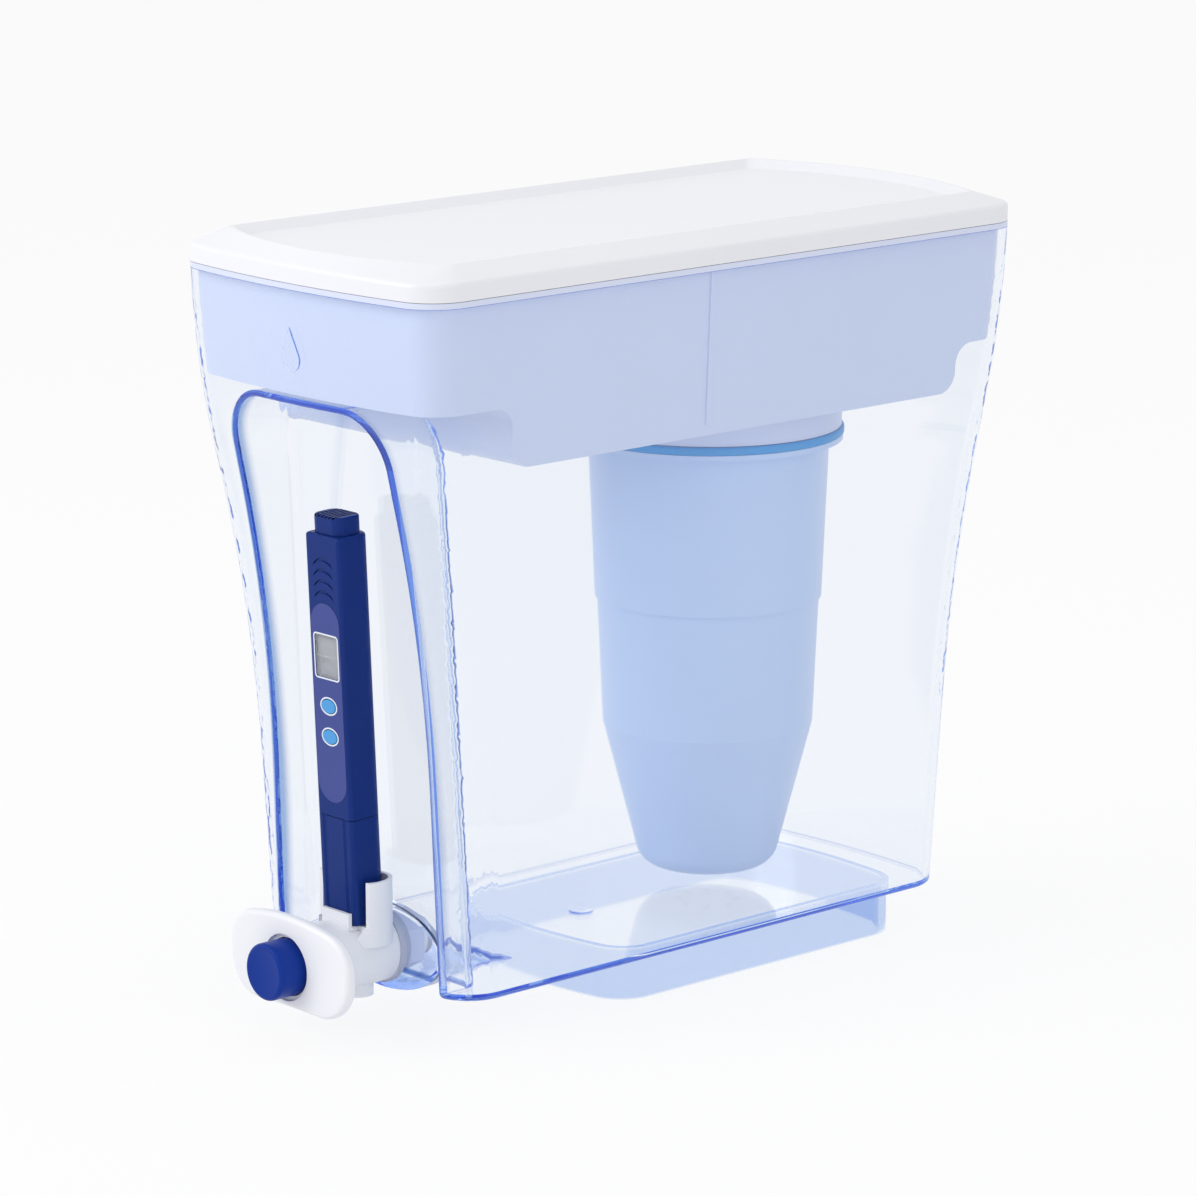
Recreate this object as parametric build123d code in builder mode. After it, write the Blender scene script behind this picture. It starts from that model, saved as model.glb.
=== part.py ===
from build123d import *
import os
from math import asin, cos, degrees, dist, pi, radians, sin, sqrt

# Countertop water filter dispenser: a clear flared tank with a niche in its front, a basin that
# lifts out of the tank with a filter cartridge under it, a lid, a push tap and a pocket water meter.
# Millimetres. Origin on the floor under the middle of the tank, +Z up, the tap points along -Y.

# Tank, moulded in clear plastic
TANK_WIDTH_TOP = 140.0
TANK_TAPER = 12.0
TANK_LENGTH_TOP = 298.6
TANK_FLARE = 25.8
TANK_HEIGHT = 250.5
TANK_WALL = 2.5
TANK_CORNER = 16.0
TANK_BASE_EDGE = 2.2
END_BOW_RADIUS = 410.0
# Height and length of the flare between base and rim, each as a share of the whole
FLARE_SHARES = ((0.0, 0.0), (0.287, 0.105), (0.727, 0.682), (0.958, 0.988), (1.0, 1.0))

# Skirt under the tank's floor, on which it stands
FOOT_HEIGHT = 18.0
FOOT_SIDE_INSET = 10.0
FOOT_FRONT_INSET = 81.5
FOOT_BACK_INSET = 13.5
FOOT_BOW = 5.0
FOOT_CORNER = 15.0
GATE_MARK_RADIUS = 4.5
GATE_MARK_RISE = 0.8
GATE_MARK_Y = -15.0

# Arched niche in the front of the tank, and the oval boss at its foot that takes the tap
NICHE_PILLAR = 14.5
NICHE_TAPER = 2.5
NICHE_TOP_SHARE = 0.8363
NICHE_ARCH = 19.0
NICHE_DEPTH = 18.0
NICHE_LIP = 1.2
NICHE_LEAN = 3.0
NICHE_EDGE = 4.0
BOSS_PROUD = 4.5
BOSS_DEPTH = 38.0
BOSS_HALF_WIDTH = 32.0
BOSS_HALF_HEIGHT = 16.0

# Raised drop on the front of the tank
DROP_SHARE = 0.9042
DROP_RADIUS = 4.6
DROP_TIP = 11.0
DROP_PROUD = 0.5

# Basin that hangs in the tank's mouth
BASIN_WALL = 2.2
BASIN_GAP = 1.0
BASIN_RIM_THICKNESS = 2.0
BASIN_DEPTH = 59.5
BASIN_SHELF_GAP = 1.0
BASIN_BACK_RISE = 18.0
BASIN_FRONT_SHELF = 45.3
BASIN_BACK_SHELF = 35.3
BASIN_STEP_ROUND = 8.0
BASIN_RIB_Y = -12.0
BASIN_RIB_WIDTH = 2.2
BASIN_RIB_PROUD = 0.6
SEAT_GAP = 0.2

# Lid
LID_BAND = 6.3
LID_SHOULDER = 1.8
LID_CREST_RISE = 4.8
LID_CREST_INSET = 10.0
LID_CREST_END_INSET = 7.3
LID_CREST_BOW = 14.0
LID_CREST_CORNER = 4.0
LID_CREST_WIDTH = 1.0
LID_PANEL_DROP = 3.0
LID_PANEL_SLOPE = 4.0
LID_WALL = 2.2
LID_TONGUE_DEPTH = 7.0
LID_TONGUE_WALL = 1.8
LID_TONGUE_GAP = 0.9

# Filter cartridge, on a bayonet under the basin
FILTER_SETBACK = 64.8
FILTER_FLOOR_GAP = 7.3
COLLAR_RADIUS = 49.5
COLLAR_HEIGHT = 11.8
GASKET_RADIUS = 50.4
GASKET_THICKNESS = 3.2
FILTER_FLANGE_RADIUS = 50.0
FILTER_FLANGE_THICKNESS = 2.0
FILTER_SHOULDER_RADIUS = 44.9
FILTER_SEAM_RADIUS = 42.4
FILTER_SEAM_STEP = 0.9
FILTER_CONE_RADIUS = 39.4
FILTER_TIP_RADIUS = 24.9
FILTER_UPPER_SHARE = 0.366
FILTER_LOWER_SHARE = 0.293
FILTER_TIP_ROUND = 9.0
FILTER_WALL = 2.0
FILTER_LAP = 8.0
FILTER_FIT = 0.1
NECK_RADIUS = 43.7
NECK_CLEARANCE = 0.5
LUG_COUNT = 3
LUG_ARC = 26.0
LUG_SWING = 45.0
LUG_REACH = 1.6
LUG_HEIGHT = 3.0
LUG_RAISE = 3.8
LUG_CLEARANCE = 0.4
SCREEN_THICKNESS = 1.6
SCREEN_LEDGE = 1.4
SCREEN_DROP = 1.0
SCREEN_HOLE_RADIUS = 1.8
SCREEN_HOLE_PITCH = 6.4
BED_GAP = 0.3
BED_BEVEL = 6.2
PAD_THICKNESS = 5.0
RESIN_SHARE = 0.593
CARBON_SHARE = 0.259
FOAM_SHARE = 0.086
OUTLET_COUNT = 8
OUTLET_HOLE_RADIUS = 2.0
OUTLET_CIRCLE_RADIUS = 11.0

# Push tap
TAP_Z = 26.8
OUTER_GASKET_RADIUS = 13.8
OUTER_GASKET_THICKNESS = 2.4
BARREL_RADIUS = 13.0
BARREL_LENGTH = 38.4
PLATE_THICKNESS = 4.2
PLATE_EDGE = 1.9
PLATE_BACK_EDGE = 1.2
PLATE_SEAT = 0.6
PLATE_SWEEP_RADIUS = 300.0
PLATE_FLARE = 3.3
PLATE_FLARE_LENGTH = 8.0
PLATE_FLARE_GAP = 0.8
WING_HALF_WIDTH = 32.8
WING_RISE = 13.2
WING_DROP = 16.2
WING_ROUND = 14.3
WING_CROWN = 19.0
WING_WAIST = 14.5
SHANK_RADIUS = 8.0
SHANK_BORE = 5.5
SHANK_LENGTH = 18.4
SHANK_CLEARANCE = 0.2
INNER_GASKET_RADIUS = 12.0
INNER_GASKET_THICKNESS = 2.2
NUT_THICKNESS = 7.6
NUT_FLATS = 21.0
THREAD_CLEARANCE = 0.08
CHAMBER_RADIUS = 7.5
CHAMBER_WALL = 2.1
CHAMBER_LENGTH = 14.0
NOZZLE_RADIUS = 5.6
NOZZLE_BORE = 4.2
NOZZLE_REACH = 16.4
DIVIDER_THICKNESS = 4.0
MOUTH_RADIUS = 12.2
LIP_THICKNESS = 2.4
BUTTON_RADIUS = 10.4
BUTTON_REACH = 9.6
BUTTON_EDGE = 1.6
BUTTON_DISH_DEPTH = 0.7
BUTTON_WALL = 1.9
BUTTON_RIM = 1.1
BUTTON_RIM_THICKNESS = 1.8
BUTTON_CLEARANCE = 0.3
STEM_RADIUS = 2.0
STEM_HEAD_RADIUS = 4.0
STEM_HEAD_THICKNESS = 1.6
SEAL_RADIUS = 7.2
SEAL_THICKNESS = 3.0
STEM_SEAL_RADIUS = 3.8
STEM_SEAL_THICKNESS = 1.8
RUNNING_CLEARANCE = 0.05
SPRING_RADIUS = 6.0
SPRING_WIRE = 0.9
SPRING_TURNS = 7
SPRING_STEPS = 4

# Holder that clips on the tap's barrel and takes the meter's cap
HOLDER_SETBACK = 0.3
HOLDER_DEPTH = 19.0
HOLDER_HALF_WIDTH = 15.0
HOLDER_CORNER = 9.0
HOLDER_WALL = 1.5
HOLDER_FLAT = 10.0
HOLDER_FLOOR = 1.5
HOLDER_FIT = 0.1
HOLDER_TALL = 16.6
HOLDER_LIP = 4.8
HOLDER_LIP_HALF_WIDTH = 7.4
HOLDER_OPEN = 4.4
HOLDER_NOTCH_HALF_WIDTH = 12.6
HOLDER_NOTCH_FOOT = 9.4
HOLDER_NOTCH_DROP = 6.4
HOLDER_RIB = 1.4
HOLDER_CLEARANCE = 0.4
SADDLE_RAISE = 4.5

# Pocket meter, standing in the holder and leaning as the niche's back does
METER_LEAN = 2.6
METER_WIDTH = 19.0
METER_DEPTH = 15.0
METER_FRONT_ROUND = 1.8
CASE_SHOULDER = 1.2
METER_BACK_ROUND = 5.0
METER_WALL = 1.6
METER_FIT = 0.15
METER_SEAM = 0.3
METER_EDGE = 0.6
CAP_LENGTH = 38.8
CAP_FLOOR = 2.0
CAP_FLUTE_RADIUS = 1.6
CAP_FLUTE_DEPTH = 0.5
CAP_FLUTE_X = 5.6
CASE_LENGTH = 102.7
CASE_ROOM_LENGTH = 80.0
NECK_LENGTH = 9.0
NECK_WALL = 1.4
CELL_RADIUS = 5.6
CELL_THICKNESS = 5.4
CELL_COUNT = 2
CELL_CLEARANCE = 0.2
CONTACT_THICKNESS = 0.5
CONTACT_RADIUS = 4.4
BATTERY_CAP_RISE = 6.6
BATTERY_CAP_INSET = 1.6
BATTERY_CAP_ROUND = 4.2
BATTERY_CAP_EDGE = 0.8
BATTERY_RIDGES = 6
BATTERY_RIDGE_WIDTH = 0.9
BATTERY_RIDGE_PITCH = 1.9
BATTERY_RIDGE_DEPTH = 0.6
LABEL_WIDTH = 15.6
LABEL_LENGTH = 73.0
LABEL_BASE = 5.2
LABEL_THICKNESS = 0.5
LABEL_PROUD = 0.1
GRIP_COUNT = 4
GRIP_PITCH = 3.9
GRIP_RISE = 3.4
GRIP_WIDTH = 11.0
GRIP_GROOVE = 1.3
GRIP_SAG = 2.2
GRIP_DEPTH = 0.5
WINDOW_WIDTH = 12.2
WINDOW_HEIGHT = 15.4
WINDOW_BASE = 51.0
WINDOW_CORNER = 1.4
WINDOW_THICKNESS = 1.4
WINDOW_FIT = 0.1
LCD_THICKNESS = 2.0
LCD_MARGIN = 0.5
POWER_KEY_BASE = 40.6
HOLD_KEY_BASE = 29.4
KEY_WIDTH = 7.6
KEY_HEIGHT = 5.0
KEY_PROUD = 0.5
KEY_CLEARANCE = 0.25
KEY_RIM = 0.5
KEY_RIM_THICKNESS = 0.7
KEY_TRAVEL = 0.6
BOARD_THICKNESS = 1.2
BOARD_WIDTH = 11.4
BOARD_BASE = 8.0
BOARD_END_GAP = 3.0
BOARD_GAP = 0.05
SWITCH_WIDTH = 4.0
SWITCH_GAP = 0.1
PLUG_CLEARANCE = 0.1
PLUG_LENGTH = 14.0
PLUG_FLANGE = 1.5
ELECTRODE_RADIUS = 0.8
ELECTRODE_SPACING = 5.0
ELECTRODE_REACH = 13.0
ELECTRODE_TAIL = 2.0

CUT = 60.0

# Heights and depths that follow from the sizes above
TANK_WIDTH_BASE = TANK_WIDTH_TOP - 2 * TANK_TAPER
TANK_LENGTH_BASE = TANK_LENGTH_TOP - 2 * TANK_FLARE
TANK_RIM_Z = FOOT_HEIGHT + TANK_HEIGHT
FOOT_WIDTH = TANK_WIDTH_BASE - 2 * FOOT_SIDE_INSET
FOOT_FRONT_Y = FOOT_FRONT_INSET - TANK_LENGTH_BASE / 2
FOOT_BACK_Y = TANK_LENGTH_BASE / 2 - FOOT_BACK_INSET
NICHE_WIDTH_BASE = TANK_WIDTH_BASE - 2 * NICHE_PILLAR
NICHE_WIDTH_TOP = NICHE_WIDTH_BASE - 2 * NICHE_TAPER
NICHE_TOP_Z = FOOT_HEIGHT + TANK_HEIGHT * NICHE_TOP_SHARE
NICHE_BACK_Y = NICHE_DEPTH - TANK_LENGTH_BASE / 2
DROP_Z = FOOT_HEIGHT + TANK_HEIGHT * DROP_SHARE
FLOOR_Z = FOOT_HEIGHT + TANK_WALL
RIM_SEAT_Z = TANK_RIM_Z + SEAT_GAP
BASIN_TOP_Z = RIM_SEAT_Z + BASIN_RIM_THICKNESS
BASIN_BOTTOM_Z = TANK_RIM_Z - BASIN_DEPTH
BASIN_INSET = TANK_WALL + BASIN_GAP
BASIN_FRONT_STEP_Y = BASIN_FRONT_SHELF - TANK_LENGTH_TOP / 2
BASIN_BACK_STEP_Y = TANK_LENGTH_TOP / 2 - BASIN_BACK_SHELF
BASIN_SHELF_Z = NICHE_TOP_Z + TANK_WALL + BASIN_SHELF_GAP
FILTER_Y = BASIN_BACK_STEP_Y - FILTER_SETBACK
LID_BASE_Z = BASIN_TOP_Z + SEAT_GAP
COLLAR_BOTTOM_Z = BASIN_BOTTOM_Z - COLLAR_HEIGHT
COLLAR_BORE = NECK_RADIUS + NECK_CLEARANCE
LUG_Z = COLLAR_BOTTOM_Z + LUG_RAISE
BOSS_FRONT_Y = NICHE_BACK_Y - BOSS_PROUD
BARREL_BACK_Y = BOSS_FRONT_Y - OUTER_GASKET_THICKNESS
PLATE_BACK_Y = BARREL_BACK_Y - BARREL_LENGTH
PLATE_FRONT_Y = PLATE_BACK_Y - PLATE_THICKNESS
BARREL_END_Y = PLATE_BACK_Y - PLATE_SEAT
FLARE_FRONT_Y = PLATE_BACK_Y + PLATE_FLARE_GAP
FLARE_BACK_Y = FLARE_FRONT_Y + PLATE_FLARE_LENGTH
FLARE_RADIUS = BARREL_RADIUS + PLATE_FLARE
SHANK_END_Y = BARREL_BACK_Y + SHANK_LENGTH
CHAMBER_BACK_Y = BARREL_BACK_Y - CHAMBER_WALL
CHAMBER_FRONT_Y = CHAMBER_BACK_Y - CHAMBER_LENGTH
NOZZLE_Y = (CHAMBER_BACK_Y + CHAMBER_FRONT_Y) / 2
DIVIDER_FRONT_Y = CHAMBER_FRONT_Y - DIVIDER_THICKNESS
BUTTON_FRONT_Y = PLATE_FRONT_Y - BUTTON_REACH
BUTTON_INNER_Y = BUTTON_FRONT_Y + BUTTON_DISH_DEPTH + BUTTON_WALL
HOLDER_BACK_Y = BARREL_BACK_Y - HOLDER_SETBACK
HOLDER_FRONT_Y = HOLDER_BACK_Y - HOLDER_DEPTH
HOLDER_MIDDLE_Y = (HOLDER_BACK_Y + HOLDER_FRONT_Y) / 2
HOLDER_FLOOR_Z = TAP_Z + HOLDER_FLAT + HOLDER_FIT + HOLDER_FLOOR
METER_FOOT_Z = HOLDER_FLOOR_Z + METER_DEPTH / 2 * sin(radians(METER_LEAN)) + SEAT_GAP
METER_PLANE = Plane(
    (0, HOLDER_MIDDLE_Y, METER_FOOT_Z),
    x_dir=(1, 0, 0),
    z_dir=(0, -sin(radians(METER_LEAN)), cos(radians(METER_LEAN))),
)
CASE_BASE = CAP_LENGTH + METER_SEAM
CASE_TOP = CASE_BASE + CASE_LENGTH
METER_FRONT = -METER_DEPTH / 2
ROOM_FRONT = METER_FRONT + METER_WALL
BOARD_FRONT = ROOM_FRONT + LCD_THICKNESS + BOARD_GAP
CELL_BORE = CELL_RADIUS + CELL_CLEARANCE
CELLS_TOP = CASE_BASE + CASE_ROOM_LENGTH + METER_WALL + 2 * CONTACT_THICKNESS + CELL_COUNT * CELL_THICKNESS


def out_of(shape, name):
    """Names a finished piece and writes it."""
    shape.label = name
    export_step(shape, f"parts/{name}.step")


def half_width(z):
    """Half the tank's width at a height."""
    share = (z - FOOT_HEIGHT) / TANK_HEIGHT
    return (TANK_WIDTH_BASE + (TANK_WIDTH_TOP - TANK_WIDTH_BASE) * share) / 2


def tank_form(inset, low, high):
    """The tank's form drawn in by inset, sharp at its corners: bowed and flared ends, flat tapered sides."""
    bow_axis = END_BOW_RADIUS - TANK_LENGTH_TOP / 2
    stations = [
        (TANK_LENGTH_BASE / 2 + TANK_FLARE * length - inset, FOOT_HEIGHT + TANK_HEIGHT * height)
        for height, length in FLARE_SHARES
    ]
    wide_low, wide_high = half_width(low) - inset, half_width(high) - inset
    with BuildPart() as form:
        with BuildSketch(Plane.XZ):
            Polygon((-wide_low, low), (wide_low, low), (wide_high, high), (-wide_high, high), align=None)
        extrude(amount=TANK_LENGTH_TOP, both=True)
        for end in (-1, 1):
            axis_y = -end * bow_axis
            points = [(end * half, z) for half, z in stations]
            below = (points[0][0], FOOT_HEIGHT - CUT)
            rise = (TANK_RIM_Z + CUT - points[-2][1]) / (points[-1][1] - points[-2][1])
            above = (points[-2][0] + rise * (points[-1][0] - points[-2][0]), TANK_RIM_Z + CUT)
            with BuildSketch(Plane.YZ):
                with BuildLine():
                    Line((axis_y, below[1]), below)
                    Line(below, points[0])
                    foot = Line(points[0], points[1])
                    lower = TangentArc(points[1], points[2], tangent=foot % 1)
                    TangentArc(points[2], points[3], tangent=lower % 1)
                    Line(points[3], above)
                    Line(above, (axis_y, above[1]))
                    Line((axis_y, above[1]), (axis_y, below[1]))
                make_face()
            revolve(axis=Axis((0, axis_y, 0), (0, 0, 1)), mode=Mode.INTERSECT)
    return form.part


def climbing(edges):
    """The edges that rise from one level to another."""
    return edges.filter_by(lambda edge: abs((edge @ 0).Z - (edge @ 1).Z) > SEAT_GAP)


def tank_block(inset, low, high):
    """The tank's form drawn in by inset, with its corners rounded."""
    with BuildPart() as block:
        add(tank_form(inset, low, high))
        fillet(climbing(block.edges()), TANK_CORNER - inset)
    return block.part


def bowed_outline(plane, half, front_y, back_y, bow, corner):
    """Oblong with straight sides and bowed ends; front_y and back_y are at the middle of the ends."""
    with BuildSketch(plane) as outline:
        with BuildLine():
            front = ThreePointArc((-half, front_y + bow), (0, front_y), (half, front_y + bow))
            back = ThreePointArc((half, back_y - bow), (0, back_y), (-half, back_y - bow))
            Line(front @ 1, back @ 0)
            Line(back @ 1, front @ 0)
        make_face()
        fillet(outline.vertices(), corner)
    return outline.sketch


def rim_outline(inset, z):
    """The tank's outline at its rim, drawn in by inset, at a height."""
    half = TANK_WIDTH_TOP / 2 - inset
    middle = TANK_LENGTH_TOP / 2 - inset
    bow_radius = END_BOW_RADIUS - inset
    bow = bow_radius - sqrt(bow_radius**2 - half**2)
    return bowed_outline(Plane.XY.offset(z), half, -middle, middle, bow, TANK_CORNER - inset)


def foot_block(inset, low, high):
    """The foot's outline drawn in by inset, between two heights."""
    with BuildPart() as block:
        add(
            bowed_outline(
                Plane.XY.offset(low),
                FOOT_WIDTH / 2 - inset,
                FOOT_FRONT_Y + inset,
                FOOT_BACK_Y - inset,
                FOOT_BOW,
                FOOT_CORNER - inset,
            )
        )
        extrude(amount=high - low)
    return block.part


def niche_block(grow):
    """The arched hollow in the tank's front, with a leaning back; grow makes the wall around it."""
    low, high = FOOT_HEIGHT - CUT, NICHE_TOP_Z + grow
    slope = (NICHE_WIDTH_BASE - NICHE_WIDTH_TOP) / 2 / (NICHE_TOP_Z - FOOT_HEIGHT)
    half_high = NICHE_WIDTH_TOP / 2 + grow
    half_low = half_high + slope * (high - low)
    lean = radians(NICHE_LEAN)
    back = Plane((0, NICHE_BACK_Y + grow, FOOT_HEIGHT), x_dir=(1, 0, 0), z_dir=(0, -cos(lean), -sin(lean)))
    with BuildPart() as block:
        with BuildSketch(Plane.XZ) as arch:
            Polygon((-half_low, low), (half_low, low), (half_high, high), (-half_high, high), align=None)
            fillet(arch.vertices().group_by(Axis.Y)[-1], NICHE_ARCH + grow)
        extrude(amount=TANK_LENGTH_TOP)
        split(bisect_by=back, keep=Keep.TOP)
        rounded = block.faces().sort_by(Axis.Y)[-1].edges().sort_by(Axis.Z)[1:]
        fillet(rounded, NICHE_EDGE + grow)
    return block.part


def tap_plane(y):
    """Plane across the tap's axis, facing the front."""
    return Plane((0, y, TAP_Z), x_dir=(1, 0, 0), z_dir=(0, -1, 0))


def rod(radius, back_y, front_y):
    """Round bar along the tap's axis."""
    with BuildPart() as bar:
        with BuildSketch(tap_plane(back_y)):
            Circle(radius)
        extrude(amount=back_y - front_y)
    return bar.part


def boss_block(inset):
    """Oval boss behind the tap, which runs back under the floor as a short trough."""
    back_y = BOSS_FRONT_Y + BOSS_DEPTH - inset
    with BuildPart() as block:
        with BuildSketch(tap_plane(back_y)):
            Ellipse(BOSS_HALF_WIDTH - inset, BOSS_HALF_HEIGHT - inset)
        extrude(amount=back_y - BOSS_FRONT_Y - inset)
    return block.part


def drop_relief():
    """A drop, as a raised skin on the tank's front."""
    tangent = asin(DROP_RADIUS / DROP_TIP)
    side = (DROP_RADIUS * cos(tangent), DROP_Z + DROP_RADIUS * sin(tangent))
    with BuildPart() as relief:
        with BuildSketch(Plane.XZ):
            with Locations((0, DROP_Z)):
                Circle(DROP_RADIUS)
            Polygon((0, DROP_Z + DROP_TIP), (-side[0], side[1]), (0, DROP_Z), side, align=None)
        extrude(amount=TANK_LENGTH_TOP)
        add(tank_form(-DROP_PROUD, NICHE_TOP_Z, TANK_RIM_Z), mode=Mode.INTERSECT)
        add(tank_form(TANK_WALL / 2, NICHE_TOP_Z, TANK_RIM_Z), mode=Mode.SUBTRACT)
    return relief.part


os.makedirs("parts", exist_ok=True)

# Tank
with BuildPart() as cavity:
    add(tank_block(TANK_WALL, FLOOR_Z, TANK_RIM_Z + CUT))
    add(niche_block(TANK_WALL), mode=Mode.SUBTRACT)
    add(boss_block(TANK_WALL))

with BuildPart() as tank:
    add(tank_block(0, FOOT_HEIGHT, TANK_RIM_Z))
    add(niche_block(0), mode=Mode.SUBTRACT)
    skin = tank_block(SEAT_GAP, FOOT_HEIGHT, TANK_RIM_Z).solid()
    lip = tank.edges(Select.LAST).filter_by(lambda edge: not skin.is_inside(edge @ (1 / 2)))
    brow = lip.filter_by_position(Axis.Z, NICHE_TOP_Z - SEAT_GAP, NICHE_TOP_Z + SEAT_GAP)
    fillet(climbing(lip) + brow, NICHE_LIP)
    fillet(tank.faces().sort_by(Axis.Z)[0].edges(), TANK_BASE_EDGE)
    add(boss_block(0))
    add(cavity.part, mode=Mode.SUBTRACT)
    add(foot_block(0, 0, FLOOR_Z))
    add(foot_block(TANK_WALL, -CUT, FOOT_HEIGHT), mode=Mode.SUBTRACT)
    add(rod(SHANK_RADIUS + SHANK_CLEARANCE, BOSS_FRONT_Y + CUT / 2, BOSS_FRONT_Y - CUT), mode=Mode.SUBTRACT)
    add(drop_relief())
    with BuildSketch(Plane.XY.offset(FLOOR_Z)):
        with Locations((0, GATE_MARK_Y)):
            Circle(GATE_MARK_RADIUS)
    extrude(amount=GATE_MARK_RISE)
out_of(tank.part, "tank")


def basin_profile(inset):
    """Side view of the basin: a deep middle between two raised shelves, drawn in by inset."""
    bottom_z = BASIN_BOTTOM_Z + inset
    front_y, back_y = BASIN_FRONT_STEP_Y + inset, BASIN_BACK_STEP_Y - inset
    front_z, back_z = BASIN_SHELF_Z + inset, bottom_z + BASIN_BACK_RISE
    with BuildSketch(Plane.YZ.offset(-TANK_WIDTH_TOP)) as profile:
        with BuildLine():
            Polyline(
                (-TANK_LENGTH_TOP, front_z),
                (front_y, front_z),
                (front_y, bottom_z),
                (back_y, bottom_z),
                (back_y, back_z),
                (TANK_LENGTH_TOP, back_z),
                (TANK_LENGTH_TOP, TANK_RIM_Z + CUT),
                (-TANK_LENGTH_TOP, TANK_RIM_Z + CUT),
                close=True,
            )
        make_face()
        fillet(profile.vertices().group_by(Axis.Y)[0], BASIN_STEP_ROUND - inset)
        shelves = profile.vertices().filter_by(lambda corner: abs(corner.X) < TANK_LENGTH_TOP / 2)
        shelf_z = min(front_z, back_z) - SEAT_GAP
        fillet(shelves.filter_by(lambda corner: corner.Y > shelf_z), BASIN_STEP_ROUND + inset)
    return profile.sketch


def basin_block(inset, high):
    """The basin's form drawn in by inset, up to a height."""
    with BuildPart() as block:
        add(basin_profile(inset))
        extrude(amount=2 * TANK_WIDTH_TOP, dir=(1, 0, 0))
        add(tank_block(BASIN_INSET + inset, BASIN_BOTTOM_Z, high), mode=Mode.INTERSECT)
    return block.part


def basin_ribs():
    """The upright rib on each side of the basin."""
    with BuildPart() as ribs:
        add(tank_form(BASIN_INSET - BASIN_RIB_PROUD, BASIN_BOTTOM_Z + BASIN_STEP_ROUND / 2, TANK_RIM_Z))
        with BuildSketch(Plane.XY.offset(BASIN_BOTTOM_Z)):
            with Locations((0, BASIN_RIB_Y)):
                Rectangle(TANK_WIDTH_TOP, BASIN_RIB_WIDTH)
        extrude(amount=BASIN_DEPTH, mode=Mode.INTERSECT)
    return ribs.part


FILTER_AXIS = Axis((0, FILTER_Y, 0), (0, 0, 1))
FILTER_PLANE = Plane.XZ.offset(-FILTER_Y)


def turned(points):
    """Ring about the filter's axis, from its section in radius and height."""
    with BuildPart() as ring:
        with BuildSketch(FILTER_PLANE):
            Polygon(*points, align=None)
        revolve(axis=FILTER_AXIS)
    return ring.part


def lugs(reach, arc, turn, low, high):
    """Bayonet lugs on the filter's neck, or the ways in for them, each centred turn degrees round."""
    with BuildPart() as ring:
        for lug in range(LUG_COUNT):
            angle = radians(turn + lug * 360 / LUG_COUNT - arc / 2)
            out = (cos(angle), sin(angle), 0)
            with BuildSketch(Plane((0, FILTER_Y, 0), x_dir=out, z_dir=(out[1], -out[0], 0))):
                inner = NECK_RADIUS - FILTER_WALL / 2
                outer = NECK_RADIUS + reach
                Polygon((inner, low), (outer, low), (outer, high), (inner, high), align=None)
            revolve(axis=FILTER_AXIS, revolution_arc=arc)
    return ring.part


# Basin, with a rim flange on the tank's rim and a collar for the filter
GROOVE_RADIUS = NECK_RADIUS + LUG_REACH + LUG_CLEARANCE
GROOVE_LOW_Z = LUG_Z - LUG_CLEARANCE
GROOVE_HIGH_Z = LUG_Z + LUG_HEIGHT + LUG_CLEARANCE
WAY_ARC = LUG_ARC + degrees(2 * LUG_CLEARANCE / NECK_RADIUS)
BASIN_FLOOR_Z = BASIN_BOTTOM_Z + BASIN_WALL

with BuildPart() as basin:
    add(basin_block(0, BASIN_TOP_Z))
    add(rim_outline(0, RIM_SEAT_Z))
    extrude(amount=BASIN_RIM_THICKNESS)
    add(basin_ribs())
    add(basin_block(BASIN_WALL, BASIN_TOP_Z + CUT), mode=Mode.SUBTRACT)
    add(
        turned(
            (
                (0, COLLAR_BOTTOM_Z),
                (COLLAR_RADIUS, COLLAR_BOTTOM_Z),
                (COLLAR_RADIUS, BASIN_FLOOR_Z),
                (0, BASIN_FLOOR_Z),
            )
        )
    )
    add(
        turned(
            (
                (0, COLLAR_BOTTOM_Z - CUT),
                (COLLAR_BORE, COLLAR_BOTTOM_Z - CUT),
                (COLLAR_BORE, GROOVE_LOW_Z),
                (GROOVE_RADIUS, GROOVE_LOW_Z),
                (GROOVE_RADIUS, GROOVE_HIGH_Z),
                (COLLAR_BORE, GROOVE_HIGH_Z),
                (COLLAR_BORE, BASIN_FLOOR_Z + CUT),
                (0, BASIN_FLOOR_Z + CUT),
            )
        ),
        mode=Mode.SUBTRACT,
    )
    add(
        lugs(LUG_REACH + LUG_CLEARANCE, WAY_ARC, LUG_SWING, COLLAR_BOTTOM_Z - CUT, GROOVE_HIGH_Z),
        mode=Mode.SUBTRACT,
    )
out_of(basin.part, "upper_reservoir")

# Lid: a band with a rounded shoulder, a crest all round and a sunk panel
LID_SHOULDER_Z = LID_BASE_Z + LID_BAND
LID_CREST_Z = LID_SHOULDER_Z + LID_CREST_RISE
LID_PANEL_Z = LID_CREST_Z - LID_PANEL_DROP
LID_HOLLOW_Z = LID_SHOULDER_Z - LID_WALL


def crest_outline(inset, z):
    """The outline of the lid's crest drawn in by inset, at a height."""
    half = TANK_WIDTH_TOP / 2 - LID_CREST_INSET - inset
    middle = TANK_LENGTH_TOP / 2 - LID_CREST_END_INSET - inset
    return bowed_outline(Plane.XY.offset(z), half, -middle, middle, LID_CREST_BOW, LID_CREST_CORNER)


def tongue_block(inset):
    """The inside of the lid's tongue, which enters the basin's mouth."""
    opening = BASIN_INSET + BASIN_WALL + LID_TONGUE_GAP
    with BuildPart() as block:
        add(rim_outline(opening + inset, LID_BASE_Z - LID_TONGUE_DEPTH))
        extrude(amount=LID_TONGUE_DEPTH + LID_HOLLOW_Z - LID_BASE_Z)
    return block.part


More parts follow.
